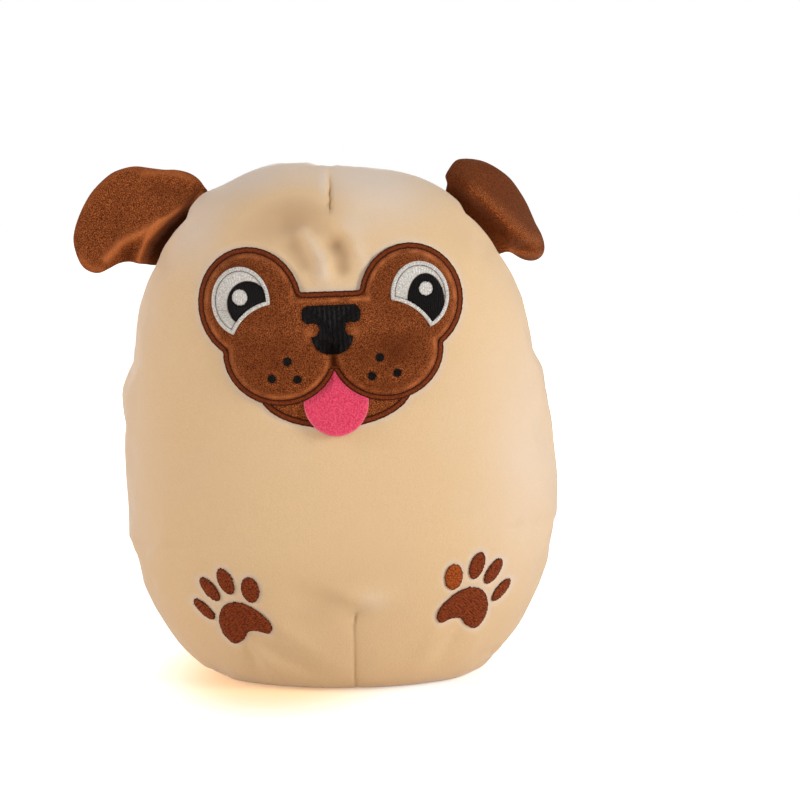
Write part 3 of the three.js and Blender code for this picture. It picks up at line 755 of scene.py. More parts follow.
def splineLoop(points, steps):
    p = np.array(points, float)
    previous, following, after = np.roll(p, 1, 0), np.roll(p, -1, 0), np.roll(p, -2, 0)
    rows = []
    for t in np.linspace(0, 1, steps, endpoint=False):
        rows.append(0.5 * (2 * p + (following - previous) * t + (2 * previous - 5 * p + 4 * following - after) * t**2
                           + (3 * p - previous - 3 * following + after) * t**3))
    return np.stack(rows, 1).reshape(-1, p.shape[1])


def loopField(loop):
    following = np.roll(loop, -1, 0)

    def field(x, z):
        point = np.stack([x, z], 1)[:, None]
        edge = following - loop
        t = np.clip(((point - loop) * edge).sum(2) / np.maximum((edge**2).sum(1), 1e-9), 0, 1)
        near = np.sqrt((((point - loop) - edge * t[..., None]) ** 2).sum(2)).min(1)
        crosses = (loop[:, 1] > z[:, None]) != (following[:, 1] > z[:, None])
        span = np.where(following[:, 1] == loop[:, 1], 1e-9, following[:, 1] - loop[:, 1])
        at = loop[:, 0] + (z[:, None] - loop[:, 1]) * (following[:, 0] - loop[:, 0]) / span
        odd = (crosses & (x[:, None] < at)).sum(1) % 2 == 1
        return np.where(odd, near, -near)
    return field


# The outline of each paw's pad and toes
def pawShapes(sign):
    unit = paw["halfWidth"]
    x, z = paw["middle"] + sign * paw["spread"], paw["height"]
    pad = loopField(splineLoop([(x + sign * a * unit, z + b * unit) for a, b in paw["outline"]], 8))
    toes = []
    for across, up, halfLength, halfWidth, turn in paw["toes"]:
        at = (x + sign * across * unit, z + up * unit)
        oval = (*at, halfWidth * unit, halfLength * unit, -sign * math.radians(turn))
        toes.append((at, oval[-1], lambda x, z, oval=oval: ovalField(x, z, *oval)))
    return (x, z), pad, toes


# Where the front is embroidered, so that outlines are looked for only there
embroideredArea = {"top": 222, "faceBottom": 120, "faceHalfWidth": 75, "pawReach": (32, 36)}


# The cloth lies flat and pale beside the embroidery: the distance to the nearest outline, outside it
def besideEmbroidery(p):
    area = embroideredArea
    near = np.full(len(p), farAway)
    x, y, z = p.T
    places = np.nonzero((y < 0) & (z < area["top"]))[0]
    face = places[(z[places] > area["faceBottom"]) & (np.abs(x[places]) < area["faceHalfWidth"])]
    near[face] = np.abs(np.maximum(muzzleField(x[face], z[face]), jawField(x[face], z[face])))
    across, up = area["pawReach"]
    for sign, _ in bothSides:
        (px, pz), pad, toes = pawShapes(sign)
        at = places[(np.abs(x[places] - px) < across) & (np.abs(z[places] - pz) < up)]
        for field in (pad, *(toe[2] for toe in toes)):
            near[at] = np.minimum(near[at], np.abs(field(x[at], z[at])))
    return near


# The body's painted light: patches of painted highlight and shade, the same along the brow's gathers, and painted
# shade along each dart's crack; positive looks pale, negative dark
def bodyPaintedLight(p):
    x, y, z = p.T
    nap_and_painted_light = spaceHumps(p, bodyShape["nap_and_painted_light"])
    for line, width, _, amount in brow:
        nap_and_painted_light += amount * (y < 0) * hump(lineAway(x, z, line), width)
    for away, share in dartLines(p):
        nap_and_painted_light -= dart["line"] * share * hump(away, 0.7)
    return nap_and_painted_light


bodyStuffing = {
    "smaller": 1.5, "stiffness": 12, "bending": 0.6, "pressure": 4.0, "shrink": 0.12, "cap": 2.2, "broad": 24,
    "quality": 6, "mass": 0.15, "frames": 20,
}
creaseCuts = (0, -0.8, 0.8, -2.2, 2.2)


def makeBody():
    bm = ballMesh(bodyShape["cuts"])
    ball = coordinates(bm)
    base = bodyBase(ball)
    moveVerts(bm, base)
    bm.normal_update()
    shift = stuffed(bm, hump(base[:, 1], 5), bodyStuffing)
    layer = bm.verts.layers.float_vector.new("shift")
    for vert, place, by in zip(bm.verts, ball, shift):
        vert.co = place
        vert[layer] = by
    bmesh.ops.subdivide_edges(bm, edges=bm.edges[:], cuts=1, use_grid_fill=True)
    ball = coordinates(bm)
    shift = evened(bm, np.array([v[layer] for v in bm.verts]), 2)
    moveVerts(bm, bodyBase(ball / np.linalg.norm(ball, axis=1)[:, None]))
    for vert, by in zip(bm.verts, shift):
        vert[layer] = by
    cutPlanes(bm, (0, 0, 0), (0, 1, 0), creaseCuts)
    for line, above in ((dart["crownLine"], True), (dart["footLine"], False)):
        (z0, x0), (z1, x1) = line[0], line[-1]
        across = Vector((z1 - z0, 0, x0 - x1)).normalized()
        wanted = (lambda c: c.z > dart["crownEnd"] - 3) if above else (lambda c: c.z < dart["footEnd"] + 3)
        cutPlanes(bm, (x0, 0, z0), across, creaseCuts, wanted)
    wide, high, tall = bodyShape["browArea"]
    for reach in bodyShape["fineReaches"]:
        at = coordinates(bm)
        gathered = (np.abs(at[:, 0]) < wide) & (np.abs(at[:, 2] - high) < tall) & (at[:, 1] < 0)
        near = (besideEmbroidery(at) < reach) | gathered & (reach == bodyShape["fineReaches"][0])
        bm.verts.index_update()
        edges = [e for e in bm.edges if near[e.verts[0].index] or near[e.verts[1].index]]
        bmesh.ops.subdivide_edges(bm, edges=edges, cuts=1, use_grid_fill=True)
    shift = np.array([v[layer] for v in bm.verts])
    p = coordinates(bm)
    beside = hump(besideEmbroidery(p), bodyShape["haloWidth"])
    setLayer(bm, "nap_and_painted_light", bodyPaintedLight(p) + bodyShape["halo"] * beside)
    p = p + bodyNormal(p) * (standOut(p) - bodyShape["haloDepth"] * beside)[:, None] + shift
    moveVerts(bm, placed(settled(leaned(p))))
    turnOutward(bm)
    tree = BVHTree.FromBMesh(bm)
    nodes = ("body_front_panel", "body_back_panel", "body_filling")
    piece = newPiece("body_cloth", bm, creamCloth, "body", nodes, "cream_cloth")
    return piece, tree


bodyPiece, bodyTree = makeBody()
print("body made:", len(bodyPiece.data.polygons), "faces")


# Pieces sewn on the front are laid out across and up, then dropped on to the body's cloth from before it
dropStart = -0.3


def dropped(x, z, lift):
    at = placed(leaned(np.stack([x, np.zeros_like(x), z], 1)))
    places = []
    for (px, _, pz), rise in zip(at, lift):
        hit = bodyTree.ray_cast(Vector((px, dropStart, pz)), Vector((0, 1, 0)))[0]
        places.append((px, (hit.y if hit else 0.0) - rise * mm, pz))
    return np.array(places)


# A flat grid cut to an outline; its edge is drawn on to the outline
def outlineGrid(field, box, step):
    x0, x1, z0, z1 = box
    nx, nz = int((x1 - x0) / step) + 1, int((z1 - z0) / step) + 1
    bm = bmesh.new()
    bmesh.ops.create_grid(bm, x_segments=nx, y_segments=nz, size=0.5)
    bmesh.ops.scale(bm, vec=(x1 - x0, z1 - z0, 1), verts=bm.verts)
    bmesh.ops.translate(bm, vec=((x0 + x1) / 2, (z0 + z1) / 2, 0), verts=bm.verts)
    middles = np.array([f.calc_center_median() for f in bm.faces])
    inside = field(middles[:, 0], middles[:, 1]) > 0
    bmesh.ops.delete(bm, geom=[f for f, keep in zip(bm.faces[:], inside) if not keep], context="FACES")
    for _ in range(3):
        edge = [v for v in bm.verts if v.is_boundary]
        flat = toEdge(field, np.array([v.co[:2] for v in edge]))
        for vert, place in zip(edge, flat):
            vert.co = (*place, 0)
        inner = [v for v in bm.verts if not v.is_boundary]
        bmesh.ops.smooth_vert(bm, verts=inner, factor=0.5, use_axis_x=True, use_axis_y=True)
    return bm


def boundaryLoops(bm):
    left = dict.fromkeys(e for e in bm.edges if e.is_boundary)
    loops = []
    while left:
        edge = next(iter(left))
        del left[edge]
        first, at = edge.verts
        loop = [first.co.copy(), at.co.copy()]
        while True:
            following = next((e for e in at.link_edges if e in left), None)
            if following is None:
                break
            del left[following]
            at = following.other_vert(at)
            loop.append(at.co.copy())
        loops.append(np.array(loop)[:, :2])
    return sorted(loops, key=len, reverse=True)


def lengthsAlong(path):
    return np.concatenate([[0], np.cumsum(np.linalg.norm(np.diff(path, axis=0), axis=1))])


# The outline as evenly spaced points, run anticlockwise
def outlinePath(field, box, spacing, grid=1.2):
    bm = outlineGrid(field, box, grid)
    loop = boundaryLoops(bm)[0]
    bm.free()
    if np.linalg.norm(loop[0] - loop[-1]) > 1e-6:
        loop = np.concatenate([loop, loop[:1]])
    lengths = lengthsAlong(loop)
    at = np.linspace(0, lengths[-1], int(lengths[-1] / spacing), endpoint=False)
    path = np.stack([np.interp(at, lengths, loop[:, i]) for i in (0, 1)], 1)
    path = toEdge(field, path, 6)
    area = np.sum(path[:, 0] * np.roll(path[:, 1], -1) - path[:, 1] * np.roll(path[:, 0], -1))
    return path if area > 0 else path[::-1]


# A strip of satin stitch along an outline: rows of points drawn inwards from a loop of edges
def makeStrip(name, path, field, material, base, width, rise, rows, stitch, ridge, **kit):
    bm = bmesh.new()
    loop = [bm.verts.new((*p, 0)) for p in path]
    edges = [bm.edges.new((a, b)) for a, b in zip(loop, loop[1:] + loop[:1])]
    inward = fieldSlope(field, path[:, 0], path[:, 1])
    inward /= np.maximum(np.linalg.norm(inward, axis=1), 1e-6)[:, None]
    rings = [loop]
    for _ in range(rows):
        made = bmesh.ops.extrude_edge_only(bm, edges=edges)["geom"]
        fresh = {g for g in made if isinstance(g, bmesh.types.BMVert)}
        edges = [g for g in made if isinstance(g, bmesh.types.BMEdge) and fresh.issuperset(g.verts)]
        rings.append([
            next(e.other_vert(v) for e in v.link_edges if e.other_vert(v) in fresh) for v in rings[-1]
        ])
    lengths = lengthsAlong(path)
    flat, lift, uvs = [], [], []
    for share in np.linspace(0, 1, rows + 1):
        place = path + inward * (width * share)
        thread = np.abs(np.sin(math.pi * (lengths + 0.35 * width * share) / stitch))
        height = rise * math.sqrt(max(1 - (2 * share - 1) ** 2, 0)) + ridge * thread * math.sin(math.pi * share)
        flat.append(place)
        lift.append(height + base(place[:, 0], place[:, 1]))
        uvs.append(np.stack([lengths, np.full(len(path), width * share)], 1))
    flat = np.concatenate(flat)
    order = [v for ring in rings for v in ring]
    for vert, place in zip(order, dropped(flat[:, 0], flat[:, 1], np.concatenate(lift))):
        vert.co = place
    layer = bm.loops.layers.uv.new("thread")
    at = dict(zip(order, np.concatenate(uvs)))
    total = lengths[-1]
    for face in bm.faces:
        us = [at[corner.vert][0] for corner in face.loops]
        closing = max(us) - min(us) > total / 2
        for corner in face.loops:
            u, v = at[corner.vert]
            corner[layer].uv = (u + (total if closing and u < total / 2 else 0), v)
    setLayer(bm, "edge", [farInside] * len(order))
    turnOutward(bm, sheet=True)
    return newPiece(name, bm, material, **kit)


# A piece cut to an outline and domed: cloth appliques and stitched fills
def makeFill(name, field, box, material, liftAt, uvAt, step, thickness, napAndPaintedLightAt=None, **kit):
    bm = outlineGrid(field, box, step)
    x, z = coordinates(bm)[:, :2].T
    inside = np.maximum(field(x, z), 0)
    inside[[v.is_boundary for v in bm.verts]] = 0
    setLayer(bm, "edge", inside)
    if napAndPaintedLightAt:
        setLayer(bm, "nap_and_painted_light", napAndPaintedLightAt(x, z))
    layer = bm.loops.layers.uv.new("thread")
    uvs = uvAt(x, z)
    bm.verts.index_update()
    for face in bm.faces:
        for corner in face.loops:
            corner[layer].uv = uvs[corner.vert.index]
    moveVerts(bm, dropped(x, z, liftAt(x, z, inside)))
    turnOutward(bm, sheet=True)
    piece = newPiece(name, bm, material, **kit)
    wall = piece.modifiers.new("thickness", "SOLIDIFY")
    wall.thickness = thickness * mm
    wall.offset = -1
    return piece


def standsFor(node, slot):
    return {"body": "body", "replaces": (node,), "slot": slot}


def rounded(inside, radius):
    t = np.clip(inside / radius, 0, 1)
    return np.sqrt(np.maximum(1 - (1 - t) ** 2, 0))


def level(amount):
    return lambda x, z: amount * np.ones_like(x)


# Painted light on the muzzle: a painted highlight just inside the border and in rings round the whisker dots, and
# patches of painted highlight and painted shade, the darkest in the crease below the nose
def muzzlePaintedLight(x, z):
    inside = muzzleField(x, z)
    wander = 0.7 + 0.3 * np.sin(0.55 * x + 0.9 * np.sin(0.31 * z)) * np.sin(0.47 * z + 1.1 * np.sin(0.23 * x))
    nap_and_painted_light = 1.1 * wander * hump(inside - 3.8, 1.3) - 0.22
    for away in whiskerDistances(x, z):
        nap_and_painted_light = nap_and_painted_light + 0.3 * wander * hump(away - 3.0, 0.9)
    for across, up, wide, high, amount in muzzle["nap_and_painted_light"]:
        nap_and_painted_light = nap_and_painted_light + amount * foldHump(x - muzzle["shift"], z, across, up, wide, high, 0)
    return nap_and_painted_light


jawBox = (-40, 42, 128, 160)
muzzlePiece = makeFill(
    "muzzle_cloth", inset(muzzleField, 0.3), muzzleBox, brownCloth, lambda x, z, inside: onMuzzle(x, z), flatUv,
    step=muzzle["step"], thickness=1.0, napAndPaintedLightAt=muzzlePaintedLight,
    body="body", replaces=("muzzle_patch", "muzzle_wadding"), slot="brown_cloth",
)
jawPiece = makeFill(
    "jaw_cloth", inset(jawField, 0.3), jawBox, brownCloth,
    lambda x, z, inside: 0.5 + 0.6 * rounded(inside - muzzle["border"] + 0.4, 1.6), flatUv,
    step=1.0, thickness=0.5, **standsFor("jaw_patch", "brown_cloth"),
)

# The border of each patch: how high it starts, its width and rise, and how far in and how high its dark lines run. The
# outer dark line is painted shade along the patch's raised edge; the inner one is a line of stitches
borders = {
    "muzzle": (muzzleField, muzzleBox, 1.5, muzzle["border"] - 0.25, 0.5,
               {"outer": (-0.25, 1.5), "inner": (1.75, 1.8)}),
    "jaw": (jawField, jawBox, 0.6, muzzle["border"], 0.4,
            {"outer": (-0.25, 0.6), "inner": (2.0, 0.8)}),
}
paths = {}
for part, (field, box, lift, width, rise, _) in borders.items():
    paths[part] = outlinePath(field, box, spacing=0.3)
    makeStrip(
        f"{part}_satin", paths[part], field, borderThread, level(lift),
        width=width, rise=rise, rows=8, stitch=0.9, ridge=0.12, **standsFor(f"{part}_border", "brown_thread"),
    )
for part, (field, *_, lines) in borders.items():
    path = paths[part]
    for line, (at, lift) in lines.items():
        uneven = at + sum(0.05 * np.sin(pace * np.arange(len(path))) for pace in (0.83, 0.37))
        moved = path + fieldSlope(field, path[:, 0], path[:, 1]) * uneven[:, None]
        makeStrip(
            f"{part}_{line}_line", moved[::2], field, outlineThread, level(lift),
            width=0.85, rise=0.4, rows=4, stitch=1.5, ridge=0.15, body="body", slot="brown_thread",
        )
print("muzzle made")


eye = {
    "spread": 41.4, "height": 189.3, "halfWidth": 13.6, "halfHeight": 15.5, "rim": 1.7,
    "cut": (24.6, 165.2, 22.6),
    "pupil": {"left": (3.6, -1.1, 9.6, 10.0), "right": (2.6, -3.0, 8.5, 12.6)},
    "glint": {"left": (-0.2, 1.9, 3.6), "right": (2.8, 2.8, 3.2)},
}


def eyeField(sign):
    def field(x, z):
        x = x - muzzle["shift"]
        ball = ovalField(x, z, sign * eye["spread"], eye["height"], eye["halfWidth"], eye["halfHeight"])
        spread, height, radius = eye["cut"]
        return np.minimum(ball, -ovalField(x, z, sign * spread, height, radius, radius))
    return field


def raised(amount, dome, radius):
    return lambda x, z, inside: onMuzzle(x, z) + amount + dome * rounded(inside + 0.15, radius)


def radialUv(across, up, radius):
    def uv(x, z):
        angle = np.arctan2(z - up, x - across)
        return np.stack([angle * radius, np.hypot(x - across, z - up)], 1)
    return uv


for sign, side in bothSides:
    field = eyeField(sign)
    middle = sign * eye["spread"] + muzzle["shift"]
    box = boxRound(middle, eye["height"], 15, 17)
    path = outlinePath(field, box, spacing=0.25, grid=0.8)
    makeStrip(
        f"eye_rim_thread_{side}", path, field, whiteThread, lambda x, z: onMuzzle(x, z) + 0.25,
        width=eye["rim"] + 0.1, rise=0.55, rows=5, stitch=0.5, ridge=0.1,
        **standsFor(f"eye_rim_{side}", "white_thread"),
    )
    inner = inset(field, eye["rim"] + 0.1)
    dx, dz, *pupilSize = eye["pupil"][side]
    pupilOval = lambda x, z, at=(middle + dx, eye["height"] + dz), size=pupilSize: ovalField(x, z, *at, *size)
    dx, dz, radius = eye["glint"][side]
    glintOval = lambda x, z, at=(middle + dx, eye["height"] + dz), r=radius: ovalField(x, z, *at, r, r)
    whiteField = lambda x, z, i=inner, p=pupilOval: np.minimum(i(x, z), -p(x, z))
    pupilField = lambda x, z, i=inner, p=pupilOval, g=glintOval: np.minimum(np.minimum(i(x, z), p(x, z)), -g(x, z))
    makeFill(
        f"eye_white_thread_{side}", ragged(inset(whiteField, 0.2), 0.08), box, whiteThread, raised(0.2, 0.45, 1.0),
        radialUv(middle, eye["height"] - 4, 12), step=0.5, thickness=0.5,
        **standsFor(f"eye_white_{side}", "white_thread"),
    )
    makeFill(
        f"pupil_thread_{side}", ragged(pupilField), box, blackThread, raised(0.2, 0.6, 1.0), flatUv,
        step=0.5, thickness=0.5, **standsFor(f"pupil_{side}", "black_thread"),
    )
    makeFill(
        f"glint_thread_{side}", ragged(glintOval), box, whiteThread, raised(0.3, 0.6, 1.0), flatUv,
        step=0.45, thickness=0.5, **standsFor(f"glint_{side}", "white_thread"),
    )
print("eyes made")


nose = {
    "halfWidth": 13.4, "top": 186.4, "bar": 178.4, "corner": 3.2,
    "nostril": (8.9, 175.6, 3.1), "tip": (173.4, 9.6, 9.5), "tipTop": 176.7, "stem": (6.2, 170, 182),
}
noseBox = (-14, 15, 162, 188)


def noseField(x, z):
    x = x - muzzle["shift"]
    w, r = nose["halfWidth"], nose["corner"]
    core = boxField(x, z, r - w, w - r, nose["bar"] + r - 0.6, nose["top"] - r)
    dx = np.maximum(np.abs(x) - (w - r), 0)
    middle, half = (nose["top"] + nose["bar"]) / 2, (nose["top"] - nose["bar"]) / 2
    dz = np.maximum(np.abs(z - middle) - (half - r), 0)
    bar = np.where((dx > 0) | (dz > 0), r - np.hypot(dx, dz), core + r)
    height, halfWidth, drop = nose["tip"]
    tip = ovalField(x, z, 0, height, halfWidth, drop)
    halfWidth, low, high = nose["stem"]
    stem = boxField(x, z, -halfWidth, halfWidth, low, high)
    whole = joined(joined(bar, stem, 0.6), np.minimum(tip, nose["tipTop"] - z), 0.6)
    for sign in (-1, 1):
        spread, up, radius = nose["nostril"]
        whole = np.minimum(whole, -ovalField(x, z, sign * spread, up, radius, radius))
    return whole


makeFill(
    "nose_thread", ragged(noseField), noseBox, blackThread, raised(0.3, 0.7, 1.2),
    lambda x, z: np.stack([x * 0.45, z], 1), step=0.5, thickness=0.6, **standsFor("nose", "black_thread"),
)

for sign, side in bothSides:
    for i, (spread, height) in enumerate(whiskers["dots"], 1):
        across, radius = muzzle["shift"] + sign * spread, whiskers["radius"]
        dot = lambda x, z, at=(across, height): ovalField(x, z, *at, radius, radius)
        box = boxRound(across, height, 2.5, 2.5)
        makeFill(
            f"whisker_thread_{side}_{i}", ragged(dot), box, blackThread, raised(0.1, 0.6, 0.9), flatUv,
            step=0.4, thickness=0.5, **standsFor(f"whisker_dot_{side}_{i}", "black_thread"),
        )
print("nose and whiskers made")


tongue = {
    "halfWidth": 14.9, "corner": 142.5, "drop": 15.6, "felt": 1.6,
    # how high the felt lies: at its root, below the lips, at its tip, in its middle and at its edge
    "root": 1.1, "lift": 2.6, "hang": 1.0, "bulge": 0.96, "edge": 0.4,
    # where it bends: the depth, and how far above and below the lips' corners
    "bendDepth": -82.0, "bend": (1.5, -4.0),
}
tongueBox = (-16, 18, 126, 156)


def tongueField(x, z):
    x = x - muzzle["shift"]
    low = ovalField(x, z, 0, tongue["corner"], tongue["halfWidth"], tongue["drop"])
    whole = np.where(z < tongue["corner"], low, tongue["halfWidth"] - np.abs(x))
    return np.minimum(whole, -muzzleField(x + muzzle["shift"], z) + 0.3)


def tongueLift(x, z, inside):
    hang = tongue["hang"] * smooth((tongue["corner"] - z) / tongue["drop"])
    below = smooth((-muzzleField(x, z) + 0.3) / 4)
    bulge = tongue["bulge"] * np.maximum(1 - ((x - muzzle["shift"]) / tongue["halfWidth"]) ** 2, 0)
    edge = tongue["edge"] * rounded(inside + 0.1, 0.8)
    return tongue["root"] + (tongue["lift"] - tongue["root"] + bulge) * below + edge + hang


cutFelt = makeMaterial(
    "cut_pink_felt", pileGroup,
    {"Base": linear(246, 132, 156), "Dark": linear(226, 92, 122), "Light": linear(252, 168, 186),
     "Tufts": 2200.0, "Grain": 0.5, "Strokes": 0.1, "Patches": 0.2},
    bump=(0.5, 0.3), roughness=0.95, sheen=0.2, sheenTint=(1.0, 0.85, 0.9), sheenRoughness=0.5,
)
tonguePiece = makeFill(
    "tongue_felt", tongueField, tongueBox, pinkFelt, tongueLift, flatUv,
    step=0.7, thickness=tongue["felt"], napAndPaintedLightAt=lambda x, z: 0.9 * hump(tongueField(x, z), 0.6),
    replaces=("tongue_root", "tongue_flap"), slot="pink_felt",
)
tonguePiece.data.materials.append(cutFelt)
tonguePiece.modifiers["thickness"].material_offset_rim = 1
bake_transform(tonguePiece)
print("tongue made")


dome = lambda x, z, inside: 0.35 + 1.0 * rounded(inside + 0.1, 1.5)
for sign, side in bothSides:
    (x, z), pad, toes = pawShapes(sign)
    makeFill(
        f"paw_pad_thread_{side}", ragged(pad), boxRound(x, z, 14, 13), pawThread, dome,
        lambda x, z, s=sign: np.stack([x * 0.8 + s * z * 0.6, z], 1),
        step=0.6, thickness=0.8, **standsFor(f"paw_pad_{side}", "paw_thread"),
    )
    for i, ((x, z), turn, field) in enumerate(toes, 1):
        thread = pawThreadWarm if side == "right" and i == 1 else pawThread
        makeFill(
            f"paw_toe_thread_{side}_{i}", ragged(field), boxRound(x, z, 8, 8), thread, dome,
            lambda x, z, a=turn: np.stack([z * math.cos(a) - x * math.sin(a), x], 1),
            step=0.5, thickness=0.8, **standsFor(f"paw_toe_{side}_{i}", "paw_thread"),
        )
print("paws made")


# Ears: down the root and out from it as seen from the front, then how far each stands forward
ear = {
    "rootHeight": 238.7, "rootDrop": 34.7, "beyondAbove": 3.4, "beyondBelow": -0.6, "standOff": 2.8,
    "rootRadius": 2.0, "length": 62.5, "cuts": 47, "inside": 4.0, "gather": 0.32, "blend": (-3, 8),
    "left": {
        "outline": [(-1.8, -1.1), (-3.2, 2.1), (-3.6, 5.2), (-3.4, 8), (-2.6, 11), (-0.8, 15.1), (1.8, 19),
                    (4.7, 24.8), (8, 31.4), (12.4, 36.1), (18.2, 39.8), (28.1, 42.3), (37, 42.4),
                    (46.4, 40.8), (53.5, 38.2), (58.3, 34), (62.4, 27.8), (63, 23), (61.1, 18.3), (56.5, 15.3),
                    (51.7, 12.6), (48.3, 8.8), (46.4, 4), (43.1, -2.7), (36, -6), (24, -6), (11, -6), (0.5, -5)],
        "middle": (32, 17),
        "thickness": 4.2,
        # how much paler or darker the whole ear is painted, and how dark the painted shade in the gutter behind the
        # crest is
        "pale": 0.08, "gutterShade": 0.85,
        # ridges: the line each follows, its width, how far it stands up and how pale the painted highlight along it is
        "ridges": [
            ([(2, -2.4), (12.5, 1.6), (23.6, 6.1), (34.7, 7.4), (45.1, 5.4)], 1.5, 0.8, 0.85),
            ([(24, 6.5), (30, 9.4), (36, 13), (43, 17), (53, 18.5)], 2.6, 1.8, 0.75),
            ([(8, 26), (0.5, 15), (-1.5, 5)], 2.6, 1.5, 0.45),
            ([(60, 29), (61.5, 23), (59, 18)], 2.5, 0.3, 0.5),
            ([(7, 30), (14, 37), (26, 41), (40, 41)], 1.6, 0.0, 0.3),
        ],
        # patches of painted highlight and shade: down, out, how long, how wide, turn and how pale
        "nap_and_painted_light": [
            (45.5, 11.5, 5, 2.4, -15, -0.5), (9, 12, 12, 4.5, 60, -0.35),
            (34, 26, 14, 8, 0, -0.2), (46, 0, 5, 4, 0, 0.4),
        ],
        "angles": (0.0, 0.0, 0.0),
        "crest": [(-2, -3), (12.5, 1.8), (23.6, 6.0), (34.7, 7.2), (45.1, 5.2), (64, 6)],
        "crestHeight": 9.5, "crestWidth": 5.0, "fall": 40.0,
        "folds": [
            (42, 16, 12, 3.8, -20, 1.4),
            (45, 11.5, 6, 2.8, -15, -2.8),
            (9, 14, 14, 5, 60, -2.4),
            (34, 26, 13, 9, 0, -2.2),
            (56, 26, 9, 7, 40, 1.4),
        ],
    },
    "right": {
        "outline": [(0, 0), (-3.1, 1.4), (-4.8, 5.3), (-5.7, 10.3), (-4, 13.8), (0, 18), (4.5, 21.1), (10.9, 23.6),
                    (18.3, 25.1), (26.4, 24.7), (34.5, 23.5), (41.3, 21.7), (47.9, 19.8), (53.2, 18.9),
                    (57.2, 17.2), (59.1, 14.5), (59.2, 11.4), (57.3, 8.8), (53.8, 6.7), (49.5, 5.3), (45.7, 2.9),
                    (43.6, -1), (41, -6), (30, -6), (16, -6), (5, -5)],
        "middle": (26, 11),
        "thickness": 6.5,
        "pale": -0.52, "gutterShade": 0.0,
        "ridges": [
            ([(11, 7.6), (19.6, 9.1), (34.4, 11.5), (44.8, 12.8), (51, 16)], 3.0, 0.8, 0.68),
            ([(46, 2.5), (50.5, 6.6), (55, 10), (58, 14)], 1.6, 1.3, 0.7),
        ],
        "nap_and_painted_light": [
            (46, 1.5, 5, 2.2, 40, 0.5), (56, 13, 5, 4, 0, 0.12), (6, 14, 12, 6, 20, 0.14),
        ],
        "angles": (-58.0, 26.0, -12.0),
        "crest": [(-6, 6), (10.4, 7.3), (19.6, 9.1), (34.4, 11.5), (44.8, 12.5), (50.8, 15.9), (60, 17)],
        "crestHeight": 10.0, "crestWidth": 9.0, "fall": 10.0,
        "folds": [
            (53, 10, 9, 2.4, 60, 1.8),
            (47, 8.5, 8, 3.2, 50, -1.8),
            (-2, 11, 7, 3, 80, -0.8),
            (12, 16, 10, 5, 20, 0.8),
        ],
    },
}


def earPlan(sign):
    ends = []
    top = ear["rootHeight"]
    for height, beyond in ((top, ear["beyondAbove"]), (top - ear["rootDrop"], ear["beyondBelow"])):
        spread = bodyShape["halfWidth"] * float(girthShare(np.array([height]))[0]) + beyond
        rise = (height - bodyShape["waist"]) / bodyShape["rise"]
        ends.append(np.array([sign * spread, 0, height - toyFrame["slump"] * sign * spread * rise**2]))
    length = float(np.linalg.norm(ends[1] - ends[0]))
    down = (ends[1] - ends[0]) / length
    out = np.array([-down[2], 0, down[0]]) * sign
    return length, ends[0] + out * ear["standOff"], down, out, np.array([0.0, -1.0, 0.0])


# How far the ear's middle stands forward of its plane: a crest, then the smaller folds
def earForward(down, out, shape):
    heights, crests = zip(*shape["crest"])
    past = out - np.interp(down, heights, crests)
    inner = smooth(1 + past / shape["crestWidth"])
    outer = 1 / (1 + (np.maximum(past, 0) / shape["fall"]) ** 2)
    forward = shape["crestHeight"] * inner * outer * smooth((down + 12) / 30)
    for *place, amount in shape["folds"]:
        forward = forward + amount * foldHump(down, out, *place)
    for line, width, amount, _ in shape["ridges"]:
        forward = forward + amount * hump(lineAway(down, out, line), width)
    wave = np.sin(down * 1.1 - out * 0.7 + 1.6 * np.sin(down * 0.43))
    return forward + ear["gather"] * wave * hump(out - 3, 5)


